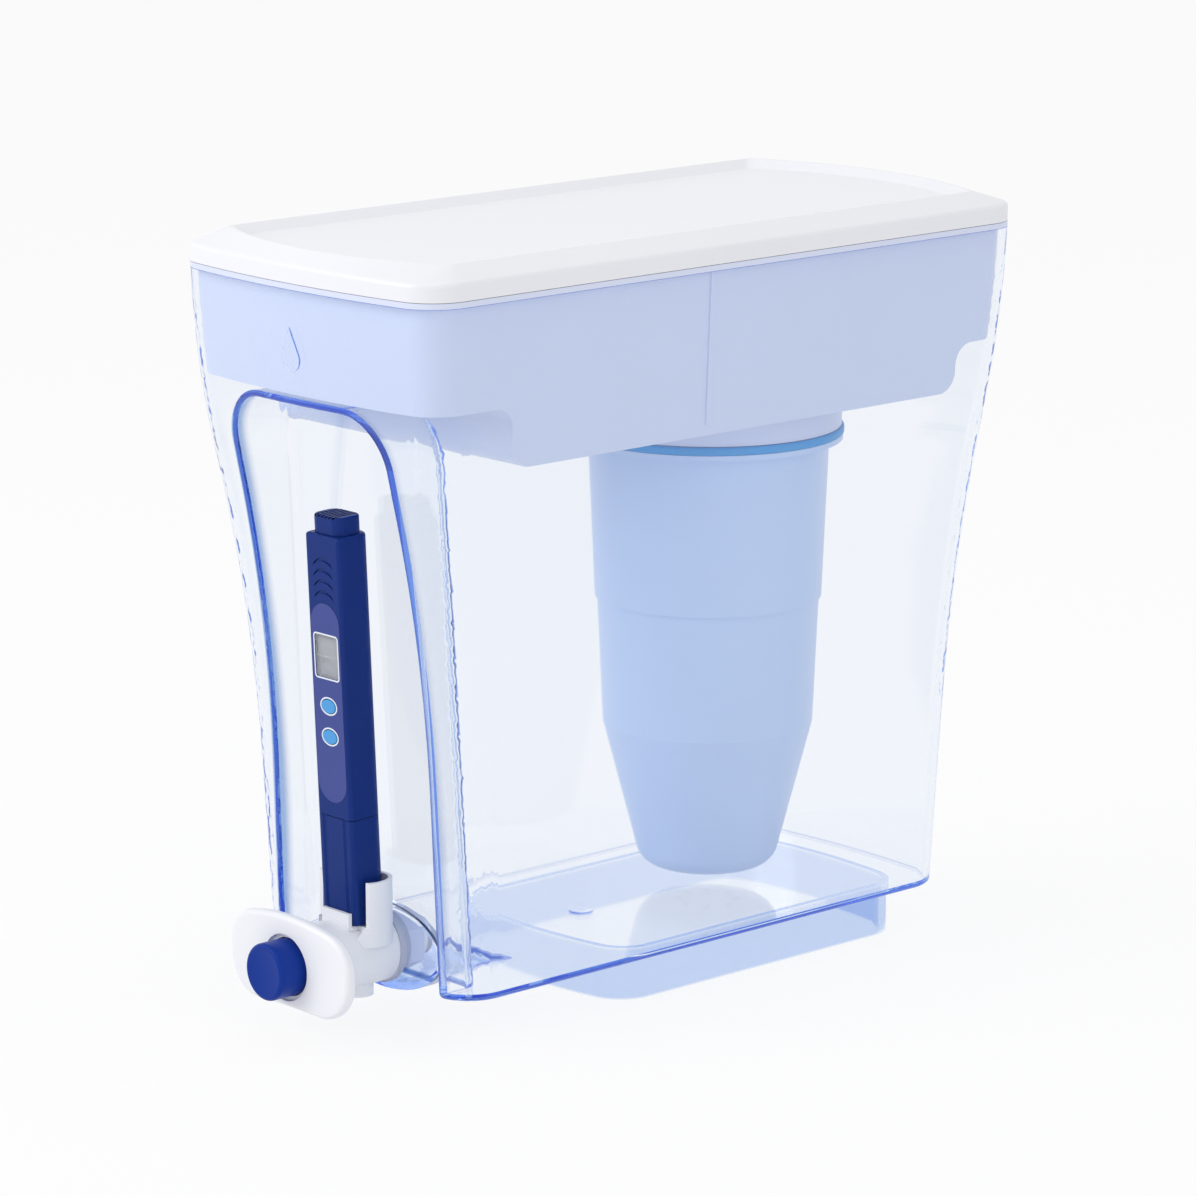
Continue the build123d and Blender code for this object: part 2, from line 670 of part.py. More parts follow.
with BuildPart() as lid:
    add(rim_outline(0, LID_BASE_Z))
    extrude(amount=LID_BAND)
    add(rim_outline(0, LID_SHOULDER_Z))
    add(crest_outline(0, LID_CREST_Z))
    loft(ruled=True)
    fillet(lid.edges().filter_by_position(Axis.Z, LID_SHOULDER_Z, LID_SHOULDER_Z), LID_SHOULDER)
    add(crest_outline(LID_CREST_WIDTH + LID_PANEL_SLOPE, LID_PANEL_Z))
    add(crest_outline(LID_CREST_WIDTH, LID_CREST_Z))
    loft(ruled=True, mode=Mode.SUBTRACT)
    add(rim_outline(LID_WALL, LID_BASE_Z))
    extrude(amount=LID_HOLLOW_Z - LID_BASE_Z, mode=Mode.SUBTRACT)
    add(crest_outline(LID_CREST_WIDTH + LID_PANEL_SLOPE, LID_HOLLOW_Z))
    extrude(amount=LID_PANEL_Z - LID_WALL - LID_HOLLOW_Z, mode=Mode.SUBTRACT)
    add(tongue_block(0))
    add(tongue_block(LID_TONGUE_WALL), mode=Mode.SUBTRACT)
out_of(lid.part, "lid")

# Filter cartridge: two shells, a gasket under the collar, a screen and the beds inside
FLANGE_TOP_Z = COLLAR_BOTTOM_Z - SEAT_GAP - GASKET_THICKNESS
FLANGE_BOTTOM_Z = FLANGE_TOP_Z - FILTER_FLANGE_THICKNESS
FILTER_BOTTOM_Z = FLOOR_Z + FILTER_FLOOR_GAP
FILTER_BODY = FLANGE_BOTTOM_Z - FILTER_BOTTOM_Z
SEAM_Z = FLANGE_BOTTOM_Z - FILTER_BODY * FILTER_UPPER_SHARE
CONE_Z = SEAM_Z - FILTER_BODY * FILTER_LOWER_SHARE
BED_Z = FILTER_BOTTOM_Z + FILTER_WALL
LAP_TOP_Z = SEAM_Z + FILTER_LAP
LAP_RADIUS = FILTER_SEAM_RADIUS - FILTER_WALL - FILTER_FIT
NECK_TOP_Z = BASIN_FLOOR_Z - NECK_CLEARANCE
NECK_INNER = NECK_RADIUS - FILTER_WALL
SCREEN_Z = NECK_TOP_Z - SCREEN_DROP - SCREEN_THICKNESS
CONE_SLOPE = (FILTER_CONE_RADIUS - FILTER_TIP_RADIUS) / (CONE_Z - FILTER_BOTTOM_Z)
BED_ROOM = FLANGE_BOTTOM_Z - BED_Z
TIP_INNER = FILTER_TIP_RADIUS + CONE_SLOPE * FILTER_WALL - FILTER_WALL

with BuildPart() as filter_upper_shell:
    add(
        turned(
            (
                (NECK_INNER, NECK_TOP_Z),
                (NECK_RADIUS, NECK_TOP_Z),
                (NECK_RADIUS, FLANGE_TOP_Z),
                (FILTER_FLANGE_RADIUS, FLANGE_TOP_Z),
                (FILTER_FLANGE_RADIUS, FLANGE_BOTTOM_Z),
                (FILTER_SHOULDER_RADIUS, FLANGE_BOTTOM_Z),
                (FILTER_SEAM_RADIUS, SEAM_Z),
                (FILTER_SEAM_RADIUS - FILTER_WALL, SEAM_Z),
                (FILTER_SHOULDER_RADIUS - FILTER_WALL, FLANGE_BOTTOM_Z),
                (NECK_INNER, FLANGE_TOP_Z),
                (NECK_INNER, SCREEN_Z - 2 * SCREEN_LEDGE),
                (NECK_INNER - SCREEN_LEDGE, SCREEN_Z - SCREEN_LEDGE),
                (NECK_INNER - SCREEN_LEDGE, SCREEN_Z),
                (NECK_INNER, SCREEN_Z),
            )
        )
    )
    add(lugs(LUG_REACH, LUG_ARC, 0, LUG_Z, LUG_Z + LUG_HEIGHT))
out_of(filter_upper_shell.part, "filter_upper_shell")

with BuildPart() as filter_lower_shell:
    with BuildSketch(FILTER_PLANE) as section:
        Polygon(
            (0, FILTER_BOTTOM_Z),
            (FILTER_TIP_RADIUS, FILTER_BOTTOM_Z),
            (FILTER_CONE_RADIUS, CONE_Z),
            (FILTER_SEAM_RADIUS - FILTER_SEAM_STEP, SEAM_Z),
            (LAP_RADIUS, SEAM_Z),
            (LAP_RADIUS, LAP_TOP_Z),
            (LAP_RADIUS - FILTER_WALL, LAP_TOP_Z),
            (FILTER_CONE_RADIUS - FILTER_WALL, CONE_Z),
            (TIP_INNER, BED_Z),
            (0, BED_Z),
            align=None,
        )
        fillet(section.vertices().group_by(Axis.Y)[0].sort_by(Axis.X)[-1], FILTER_TIP_ROUND)
        floor_level = section.vertices().filter_by(lambda corner: abs(corner.Y - BED_Z) < SEAT_GAP)
        fillet(floor_level.sort_by(Axis.X)[-1], FILTER_TIP_ROUND - FILTER_WALL)
    revolve(axis=FILTER_AXIS)
    with BuildSketch(Plane.XY.offset(FILTER_BOTTOM_Z)):
        with Locations((0, FILTER_Y)):
            with PolarLocations(OUTLET_CIRCLE_RADIUS, OUTLET_COUNT):
                Circle(OUTLET_HOLE_RADIUS)
    extrude(amount=FILTER_WALL, mode=Mode.SUBTRACT)
out_of(filter_lower_shell.part, "filter_lower_shell")

with BuildPart() as filter_gasket:
    add(
        turned(
            (
                (NECK_RADIUS + FILTER_FIT, FLANGE_TOP_Z),
                (GASKET_RADIUS, FLANGE_TOP_Z),
                (GASKET_RADIUS, FLANGE_TOP_Z + GASKET_THICKNESS),
                (NECK_RADIUS + FILTER_FIT, FLANGE_TOP_Z + GASKET_THICKNESS),
            )
        )
    )
    fillet(filter_gasket.edges().filter_by(GeomType.CIRCLE).group_by(SortBy.RADIUS)[-1], GASKET_THICKNESS / 4)
out_of(filter_gasket.part, "filter_gasket")

with BuildPart() as filter_inlet_screen:
    with BuildSketch(Plane.XY.offset(SCREEN_Z)):
        with Locations((0, FILTER_Y)):
            Circle(NECK_INNER - FILTER_FIT)
            Circle(SCREEN_HOLE_RADIUS, mode=Mode.SUBTRACT)
            rings = int((NECK_INNER - SCREEN_LEDGE - SCREEN_HOLE_RADIUS) / SCREEN_HOLE_PITCH)
            for ring in range(1, rings + 1):
                with PolarLocations(ring * SCREEN_HOLE_PITCH, 6 * ring):
                    Circle(SCREEN_HOLE_RADIUS, mode=Mode.SUBTRACT)
    extrude(amount=SCREEN_THICKNESS)
out_of(filter_inlet_screen.part, "filter_inlet_screen")

bed_low = BED_Z
for bed_name, bed_thickness in (
    ("filter_outlet_pad", PAD_THICKNESS),
    ("filter_resin", BED_ROOM * RESIN_SHARE),
    ("filter_carbon", BED_ROOM * CARBON_SHARE),
    ("filter_foam", BED_ROOM * FOAM_SHARE),
):
    with BuildPart() as bed:
        with BuildSketch(FILTER_PLANE) as section:
            Polygon(
                (0, BED_Z),
                (TIP_INNER - BED_BEVEL, BED_Z),
                (TIP_INNER + CONE_SLOPE * BED_BEVEL - BED_GAP, BED_Z + BED_BEVEL),
                (FILTER_CONE_RADIUS - FILTER_WALL - BED_GAP, CONE_Z),
                (LAP_RADIUS - FILTER_WALL - BED_GAP, LAP_TOP_Z),
                (LAP_RADIUS - FILTER_WALL - BED_GAP, NECK_TOP_Z),
                (0, NECK_TOP_Z),
                align=None,
            )
            with Locations((0, bed_low)):
                Rectangle(
                    FILTER_SEAM_RADIUS,
                    bed_thickness,
                    align=(Align.MIN, Align.MIN),
                    mode=Mode.INTERSECT,
                )
        revolve(axis=FILTER_AXIS)
    out_of(bed.part, bed_name)
    bed_low += bed_thickness

# Tap: barrel with shank and nozzle, wing plate, button, valve, gaskets, nut and spring
with BuildPart() as spigot_body:
    add(rod(BARREL_RADIUS, BARREL_BACK_Y, BARREL_END_Y))
    with BuildSketch(Plane.XY.offset(TAP_Z)):
        with BuildLine():
            Line((0, FLARE_BACK_Y), (BARREL_RADIUS, FLARE_BACK_Y))
            TangentArc((BARREL_RADIUS, FLARE_BACK_Y), (FLARE_RADIUS, FLARE_FRONT_Y), tangent=(0, -1))
            Polyline((FLARE_RADIUS, FLARE_FRONT_Y), (0, FLARE_FRONT_Y), (0, FLARE_BACK_Y))
        make_face()
    revolve(axis=Axis((0, 0, TAP_Z), (0, 1, 0)))
    add(rod(SHANK_RADIUS, SHANK_END_Y, BARREL_BACK_Y))
    with BuildSketch(Plane.XY.offset(TAP_Z - NOZZLE_REACH)):
        with Locations((0, NOZZLE_Y)):
            Circle(NOZZLE_RADIUS)
    extrude(amount=NOZZLE_REACH)
    add(rod(SHANK_BORE, SHANK_END_Y, CHAMBER_BACK_Y), mode=Mode.SUBTRACT)
    add(rod(CHAMBER_RADIUS, CHAMBER_BACK_Y, CHAMBER_FRONT_Y), mode=Mode.SUBTRACT)
    add(rod(STEM_SEAL_RADIUS, CHAMBER_FRONT_Y, CHAMBER_FRONT_Y - STEM_SEAL_THICKNESS), mode=Mode.SUBTRACT)
    add(rod(STEM_RADIUS + BUTTON_CLEARANCE, CHAMBER_FRONT_Y, DIVIDER_FRONT_Y), mode=Mode.SUBTRACT)
    add(rod(BUTTON_RADIUS + BUTTON_RIM + BUTTON_CLEARANCE, DIVIDER_FRONT_Y, BARREL_END_Y), mode=Mode.SUBTRACT)
    with BuildSketch(Plane.XY.offset(TAP_Z - NOZZLE_REACH)):
        with Locations((0, NOZZLE_Y)):
            Circle(NOZZLE_BORE)
    extrude(amount=NOZZLE_REACH, mode=Mode.SUBTRACT)
    with BuildSketch(Plane.XY.offset(TAP_Z + HOLDER_FLAT)):
        with Locations((0, HOLDER_FRONT_Y - HOLDER_FIT)):
            Rectangle(2 * BARREL_RADIUS, CUT, align=(Align.CENTER, Align.MIN))
    extrude(amount=BARREL_RADIUS, mode=Mode.SUBTRACT)
out_of(spigot_body.part, "spigot_body")

with BuildPart() as spigot_wing_plate:
    with BuildSketch(tap_plane(PLATE_BACK_Y + PLATE_THICKNESS)) as wings:
        with BuildLine():
            right, left = WING_HALF_WIDTH, -WING_HALF_WIDTH
            ThreePointArc((left, WING_RISE), (0, WING_CROWN), (right, WING_RISE))
            ThreePointArc((right, -WING_DROP), (0, -WING_WAIST), (left, -WING_DROP))
            Line((right, WING_RISE), (right, -WING_DROP))
            Line((left, -WING_DROP), (left, WING_RISE))
        make_face()
        fillet(wings.vertices(), WING_ROUND)
    extrude(amount=2 * PLATE_THICKNESS)
    with BuildSketch(Plane.XY.offset(TAP_Z - CUT)):
        with Locations((0, PLATE_FRONT_Y + PLATE_SWEEP_RADIUS)):
            Circle(PLATE_SWEEP_RADIUS)
            Circle(PLATE_SWEEP_RADIUS - PLATE_THICKNESS, mode=Mode.SUBTRACT)
    extrude(amount=2 * CUT, mode=Mode.INTERSECT)
    outline = spigot_wing_plate.faces().sort_by(Axis.Y)
    fillet(outline[-1].edges(), PLATE_BACK_EDGE)
    fillet(spigot_wing_plate.faces().sort_by(Axis.Y)[0].edges(), PLATE_EDGE)
    add(rod(BARREL_RADIUS, BARREL_BACK_Y, BARREL_END_Y), mode=Mode.SUBTRACT)
    add(rod(BUTTON_RADIUS + BUTTON_CLEARANCE, BARREL_BACK_Y, PLATE_FRONT_Y - CUT), mode=Mode.SUBTRACT)
    add(rod(MOUTH_RADIUS, PLATE_BACK_Y - LIP_THICKNESS, PLATE_FRONT_Y - CUT), mode=Mode.SUBTRACT)
out_of(spigot_wing_plate.part, "spigot_wing_plate")

BUTTON_RIM_Y = BARREL_END_Y + SEAT_GAP
BUTTON_TAIL_Y = BUTTON_RIM_Y + BUTTON_RIM_THICKNESS
DISH_CHORD = BUTTON_RADIUS - BUTTON_EDGE
DISH_RADIUS = (DISH_CHORD**2 + BUTTON_DISH_DEPTH**2) / (2 * BUTTON_DISH_DEPTH)

with BuildPart() as tap_button:
    add(rod(BUTTON_RADIUS, BUTTON_TAIL_Y, BUTTON_FRONT_Y))
    fillet(tap_button.edges().sort_by(Axis.Y)[0], BUTTON_EDGE)
    add(rod(BUTTON_RADIUS + BUTTON_RIM, BUTTON_TAIL_Y, BUTTON_RIM_Y))
    with Locations((0, BUTTON_FRONT_Y + BUTTON_DISH_DEPTH - DISH_RADIUS, TAP_Z)):
        Sphere(DISH_RADIUS, mode=Mode.SUBTRACT)
    add(rod(BUTTON_RADIUS - BUTTON_WALL, BUTTON_TAIL_Y, BUTTON_INNER_Y), mode=Mode.SUBTRACT)
out_of(tap_button.part, "tap_button")

SEAL_FRONT_Y = SHANK_END_Y + RUNNING_CLEARANCE
SEAL_BACK_Y = SEAL_FRONT_Y + SEAL_THICKNESS

with BuildPart() as valve_stem:
    add(rod(STEM_RADIUS, SEAL_BACK_Y, BUTTON_INNER_Y))
    add(rod(STEM_HEAD_RADIUS, SEAL_BACK_Y + STEM_HEAD_THICKNESS, SEAL_BACK_Y))
    add(rod(STEM_HEAD_RADIUS, BUTTON_INNER_Y + STEM_HEAD_THICKNESS, BUTTON_INNER_Y))
out_of(valve_stem.part, "valve_stem")

for washer_name, outer, bore, back_y, front_y in (
    ("valve_seal", SEAL_RADIUS, STEM_RADIUS, SEAL_BACK_Y, SEAL_FRONT_Y),
    (
        "stem_seal",
        STEM_SEAL_RADIUS,
        STEM_RADIUS + RUNNING_CLEARANCE,
        CHAMBER_FRONT_Y,
        CHAMBER_FRONT_Y - STEM_SEAL_THICKNESS,
    ),
    (
        "spigot_outer_gasket",
        OUTER_GASKET_RADIUS,
        SHANK_RADIUS + THREAD_CLEARANCE,
        BOSS_FRONT_Y,
        BARREL_BACK_Y,
    ),
    (
        "spigot_inner_gasket",
        INNER_GASKET_RADIUS,
        SHANK_RADIUS + THREAD_CLEARANCE,
        BOSS_FRONT_Y + TANK_WALL + INNER_GASKET_THICKNESS,
        BOSS_FRONT_Y + TANK_WALL,
    ),
):
    with BuildPart() as washer:
        add(rod(outer, back_y, front_y))
        add(rod(bore, back_y, front_y), mode=Mode.SUBTRACT)
    out_of(washer.part, washer_name)

NUT_FRONT_Y = BOSS_FRONT_Y + TANK_WALL + INNER_GASKET_THICKNESS

with BuildPart() as spigot_nut:
    with BuildSketch(tap_plane(NUT_FRONT_Y + NUT_THICKNESS)):
        RegularPolygon(NUT_FLATS / 2, 6, major_radius=False, rotation=30)
        Circle(SHANK_RADIUS + THREAD_CLEARANCE, mode=Mode.SUBTRACT)
    extrude(amount=NUT_THICKNESS)
out_of(spigot_nut.part, "spigot_nut")


def coil_points(low_y, high_y, steps):
    """Points and headings of the spring's helix, a quarter turn apart or less."""
    count = SPRING_TURNS * steps
    rise = (high_y - low_y) / (2 * pi * SPRING_TURNS)
    rows = []
    for step in range(count + 1):
        turn = 2 * pi * step / steps
        place = Vector(SPRING_RADIUS * cos(turn), low_y + rise * turn, TAP_Z + SPRING_RADIUS * sin(turn))
        heading = Vector(-SPRING_RADIUS * sin(turn), rise, SPRING_RADIUS * cos(turn)).normalized()
        rows.append((place, heading))
    return rows


# Each step of the coil is two arcs that meet on a common tangent
SPRING_LOW_Y = BUTTON_INNER_Y + SPRING_WIRE / 2 + RUNNING_CLEARANCE
SPRING_HIGH_Y = DIVIDER_FRONT_Y - SPRING_WIRE / 2 - RUNNING_CLEARANCE
coil = coil_points(SPRING_LOW_Y, SPRING_HIGH_Y, SPRING_STEPS)

with BuildPart() as spigot_spring:
    with BuildLine() as wire:
        for (start, leaving), (finish, arriving) in zip(coil, coil[1:]):
            span, headings = finish - start, leaving + arriving
            a = headings.dot(headings) - 4
            b = -2 * span.dot(headings)
            reach = (-b - sqrt(b**2 - 4 * a * span.dot(span))) / (2 * a)
            middle = (start + leaving * reach + finish - arriving * reach) * 0.5
            first = TangentArc(start, middle, tangent=leaving)
            TangentArc(middle, finish, tangent=first % 1)
    with BuildSketch(Plane(coil[0][0], z_dir=coil[0][1])):
        Circle(SPRING_WIRE / 2)
    sweep(path=wire.line)
out_of(spigot_spring.part, "spigot_spring")

track = [tuple(place) for place, heading in coil_points(SPRING_LOW_Y, SPRING_HIGH_Y, SPRING_STEPS**2)]
apart = SPRING_STEPS**2 // 2
gap = min(dist(a, b) for i, a in enumerate(track) for b in track[i + apart:]) - SPRING_WIRE
print("least gap between the spring's turns", round(gap, 2))

# Holder: a saddle on the barrel, a floor, tall sides, a low lip in front and a notch on each side of it


def holder_block(inset, low, high):
    """The holder's rounded outline drawn in by inset, between two heights."""
    with BuildPart() as block:
        with BuildSketch(Plane.XY.offset(low)):
            with Locations((0, HOLDER_MIDDLE_Y)):
                RectangleRounded(
                    2 * (HOLDER_HALF_WIDTH - inset), HOLDER_DEPTH - 2 * inset, HOLDER_CORNER - inset
                )
        extrude(amount=high - low)
    return block.part


SADDLE_Z = TAP_Z + SADDLE_RAISE
HOLDER_TOP_Z = HOLDER_FLOOR_Z + HOLDER_TALL
HOLDER_LIP_Z = HOLDER_FLOOR_Z + HOLDER_LIP
HOLDER_OPEN_Y = HOLDER_FRONT_Y + HOLDER_OPEN

with BuildPart() as meter_holder:
    add(holder_block(0, SADDLE_Z, HOLDER_TOP_Z))
    add(holder_block(HOLDER_WALL, HOLDER_FLOOR_Z, HOLDER_TOP_Z + CUT), mode=Mode.SUBTRACT)
    for side in (-1, 1):
        with BuildSketch(Plane.XY.offset(HOLDER_FLOOR_Z)):
            with Locations((side * (METER_WIDTH / 2 + HOLDER_CLEARANCE), HOLDER_MIDDLE_Y)):
                Rectangle(
                    HOLDER_HALF_WIDTH - METER_WIDTH / 2 - HOLDER_CLEARANCE - HOLDER_WALL / 2,
                    HOLDER_RIB,
                    align=(Align.MIN if side > 0 else Align.MAX, Align.CENTER),
                )
        extrude(amount=HOLDER_TALL - HOLDER_LIP)
    with BuildSketch(Plane.XZ.offset(-HOLDER_OPEN_Y)):
        with Locations((0, HOLDER_LIP_Z)):
            Rectangle(4 * HOLDER_HALF_WIDTH, CUT, align=(Align.CENTER, Align.MIN))
        for side in (-1, 1):
            Polygon(
                (side * HOLDER_LIP_HALF_WIDTH, HOLDER_LIP_Z),
                (side * HOLDER_LIP_HALF_WIDTH, HOLDER_FLOOR_Z),
                (side * HOLDER_NOTCH_FOOT, HOLDER_FLOOR_Z - HOLDER_NOTCH_DROP),
                (side * HOLDER_NOTCH_HALF_WIDTH, HOLDER_FLOOR_Z),
                (side * 2 * HOLDER_HALF_WIDTH, HOLDER_FLOOR_Z),
                (side * 2 * HOLDER_HALF_WIDTH, HOLDER_LIP_Z),
                align=None,
            )
    extrude(amount=CUT, mode=Mode.SUBTRACT)
    with BuildSketch(tap_plane(BARREL_BACK_Y)):
        Circle(BARREL_RADIUS + HOLDER_FIT)
        with Locations((0, HOLDER_FLAT + HOLDER_FIT)):
            Rectangle(CUT, CUT, align=(Align.CENTER, Align.MIN), mode=Mode.SUBTRACT)
    extrude(amount=BARREL_LENGTH, mode=Mode.SUBTRACT)
out_of(meter_holder.part, "meter_holder")

# Meter: every height below runs along the leaning meter from its foot


def meter_bar(inset, low, high):
    """The meter's section drawn in by inset, between two heights along the meter."""
    with BuildPart() as bar:
        with BuildSketch(METER_PLANE.offset(low)) as section:
            Rectangle(METER_WIDTH - 2 * inset, METER_DEPTH - 2 * inset)
            fillet(section.vertices().group_by(Axis.Y)[0], METER_FRONT_ROUND)
            fillet(section.vertices().group_by(Axis.Y)[-1], METER_BACK_ROUND - inset)
        extrude(amount=high - low)
    return bar.part


def face_plane(depth):
    """Plane across the meter at a depth from its middle, facing the front, with its Y along the meter."""
    return Plane(METER_PLANE.from_local_coords((0, depth, 0)), x_dir=(1, 0, 0), z_dir=METER_PLANE.y_dir * -1)


def panel(depth_low, depth_high, width, height, corner, middle, holes=()):
    """Rounded plate in the meter's front between two depths, with oval holes."""
    with BuildPart() as plate:
        with BuildSketch(face_plane(depth_high)):
            with Locations((0, middle)):
                RectangleRounded(width, height, corner)
            for hole_width, hole_height, place in holes:
                with Locations((0, place)):
                    Ellipse(hole_width / 2, hole_height / 2, mode=Mode.SUBTRACT)
        extrude(amount=depth_high - depth_low)
    return plate.part


def key_block(grow, depth_low, depth_high, place):
    """Oval bar for a key, or its hole, between two depths."""
    with BuildPart() as block:
        with BuildSketch(face_plane(depth_high)):
            with Locations((0, place)):
                Ellipse(KEY_WIDTH / 2 + grow, KEY_HEIGHT / 2 + grow)
        extrude(amount=depth_high - depth_low)
    return block.part


WINDOW_MIDDLE = CASE_BASE + WINDOW_BASE + WINDOW_HEIGHT / 2
LABEL_MIDDLE = CASE_BASE + LABEL_BASE + LABEL_LENGTH / 2
LABEL_TOP = CASE_BASE + LABEL_BASE + LABEL_LENGTH
LABEL_FRONT = METER_FRONT - LABEL_PROUD
LABEL_BACK = LABEL_FRONT + LABEL_THICKNESS
KEY_PLACES = (
    ("meter_power_button", CASE_BASE + POWER_KEY_BASE),
    ("meter_hold_button", CASE_BASE + HOLD_KEY_BASE),
)
KEY_HOLE_WIDTH = KEY_WIDTH + 2 * KEY_CLEARANCE
KEY_HOLE_HEIGHT = KEY_HEIGHT + 2 * KEY_CLEARANCE
KEY_FRONT = METER_FRONT - KEY_PROUD
KEY_RIM_FRONT = ROOM_FRONT + RUNNING_CLEARANCE
KEY_BACK = KEY_RIM_FRONT + KEY_RIM_THICKNESS
NECK_BASE = CASE_BASE - NECK_LENGTH
NECK_INSET = METER_WALL + METER_FIT
NECK_BORE_INSET = NECK_INSET + NECK_WALL
ROOM_TOP = CASE_BASE + CASE_ROOM_LENGTH
BAY_FLOOR = ROOM_TOP + METER_WALL


def meter_round(radius, low, high):
    """Round bar along the meter."""
    with BuildPart() as bar:
        with BuildSketch(METER_PLANE.offset(low)):
            Circle(radius)
        extrude(amount=high - low)
    return bar.part


with BuildPart() as meter_case:
    add(meter_bar(0, CASE_BASE, CASE_TOP))
    fillet(meter_case.faces().sort_by(Axis.Z)[-1].edges(), CASE_SHOULDER)
    add(meter_bar(NECK_INSET, NECK_BASE, CASE_BASE))
    add(meter_bar(NECK_BORE_INSET, NECK_BASE - CUT, ROOM_TOP), mode=Mode.SUBTRACT)
    add(meter_bar(METER_WALL, CASE_BASE + METER_WALL, ROOM_TOP), mode=Mode.SUBTRACT)
    add(meter_round(CELL_BORE, BAY_FLOOR, CASE_TOP), mode=Mode.SUBTRACT)
    add(
        panel(LABEL_FRONT, LABEL_BACK, LABEL_WIDTH, LABEL_LENGTH, LABEL_WIDTH / 2 - METER_FIT, LABEL_MIDDLE),
        mode=Mode.SUBTRACT,
    )
    add(
        panel(
            METER_FRONT,
            ROOM_FRONT,
            WINDOW_WIDTH + 2 * WINDOW_FIT,
            WINDOW_HEIGHT + 2 * WINDOW_FIT,
            WINDOW_CORNER,
            WINDOW_MIDDLE,
        ),
        mode=Mode.SUBTRACT,
    )
    for key_name, key_place in KEY_PLACES:
        add(key_block(KEY_CLEARANCE, METER_FRONT, ROOM_FRONT, key_place), mode=Mode.SUBTRACT)
    with BuildSketch(face_plane(METER_FRONT + GRIP_DEPTH)):
        for grip in range(GRIP_COUNT):
            grip_z = LABEL_TOP + GRIP_RISE + grip * GRIP_PITCH
            ends = ((-GRIP_WIDTH / 2, grip_z - GRIP_SAG), (GRIP_WIDTH / 2, grip_z - GRIP_SAG))
            with BuildLine():
                ThreePointArc(ends[0], (0, grip_z + GRIP_GROOVE), ends[1])
                ThreePointArc(ends[1], (0, grip_z), ends[0])
            make_face()
    extrude(amount=2 * GRIP_DEPTH, mode=Mode.SUBTRACT)
out_of(meter_case.part, "meter_case")

with BuildPart() as meter_label:
    add(
        panel(
            LABEL_FRONT,
            LABEL_BACK,
            LABEL_WIDTH - 2 * WINDOW_FIT,
            LABEL_LENGTH - 2 * WINDOW_FIT,
            LABEL_WIDTH / 2 - METER_FIT - WINDOW_FIT,
            LABEL_MIDDLE,
            [(KEY_HOLE_WIDTH, KEY_HOLE_HEIGHT, place) for name, place in KEY_PLACES],
        )
    )
    add(
        panel(
            LABEL_FRONT,
            LABEL_BACK,
            WINDOW_WIDTH + 2 * WINDOW_FIT,
            WINDOW_HEIGHT + 2 * WINDOW_FIT,
            WINDOW_CORNER,
            WINDOW_MIDDLE,
        ),
        mode=Mode.SUBTRACT,
    )
out_of(meter_label.part, "meter_label")

with BuildPart() as meter_window:
    add(
        panel(
            ROOM_FRONT - WINDOW_THICKNESS,
            ROOM_FRONT,
            WINDOW_WIDTH,
            WINDOW_HEIGHT,
            WINDOW_CORNER,
            WINDOW_MIDDLE,
        )
    )
out_of(meter_window.part, "meter_window")

with BuildPart() as meter_lcd:
    add(
        panel(
            ROOM_FRONT,
            ROOM_FRONT + LCD_THICKNESS,
            WINDOW_WIDTH + 2 * LCD_MARGIN,
            WINDOW_HEIGHT + 2 * LCD_MARGIN,
            LCD_MARGIN,
            WINDOW_MIDDLE,
        )
    )
out_of(meter_lcd.part, "meter_lcd")

with BuildPart() as meter_circuit_board:
    with BuildSketch(face_plane(BOARD_FRONT + BOARD_THICKNESS)):
        with Locations((0, CASE_BASE + BOARD_BASE)):
            Rectangle(
                BOARD_WIDTH,
                CASE_ROOM_LENGTH - BOARD_BASE - BOARD_END_GAP,
                align=(Align.CENTER, Align.MIN),
            )
    extrude(amount=BOARD_THICKNESS)
    with BuildSketch(face_plane(BOARD_FRONT)):
        for key_name, key_place in KEY_PLACES:
            with Locations((0, key_place)):
                Rectangle(SWITCH_WIDTH, SWITCH_WIDTH)
    extrude(amount=BOARD_FRONT - KEY_BACK - KEY_TRAVEL - SWITCH_GAP)
out_of(meter_circuit_board.part, "meter_circuit_board")

for key_name, key_place in KEY_PLACES:
    with BuildPart() as key:
        add(key_block(0, KEY_FRONT, KEY_BACK, key_place))
        fillet(key.faces().sort_by(Axis.Y)[0].edges(), KEY_PROUD / 2)
        add(key_block(KEY_RIM, KEY_RIM_FRONT, KEY_BACK, key_place))
    out_of(key.part, key_name)

with BuildPart() as meter_batteries:
    for cell in range(CELL_COUNT):
        cell_low = BAY_FLOOR + CONTACT_THICKNESS + cell * CELL_THICKNESS
        add(meter_round(CELL_RADIUS, cell_low + METER_FIT / 2, cell_low + CELL_THICKNESS - METER_FIT / 2))
out_of(meter_batteries.part, "meter_batteries")

with BuildPart() as battery_contacts:
    add(meter_round(CONTACT_RADIUS, BAY_FLOOR, BAY_FLOOR + CONTACT_THICKNESS))
    add(meter_round(CONTACT_RADIUS, CELLS_TOP - CONTACT_THICKNESS, CELLS_TOP))
out_of(battery_contacts.part, "battery_contacts")

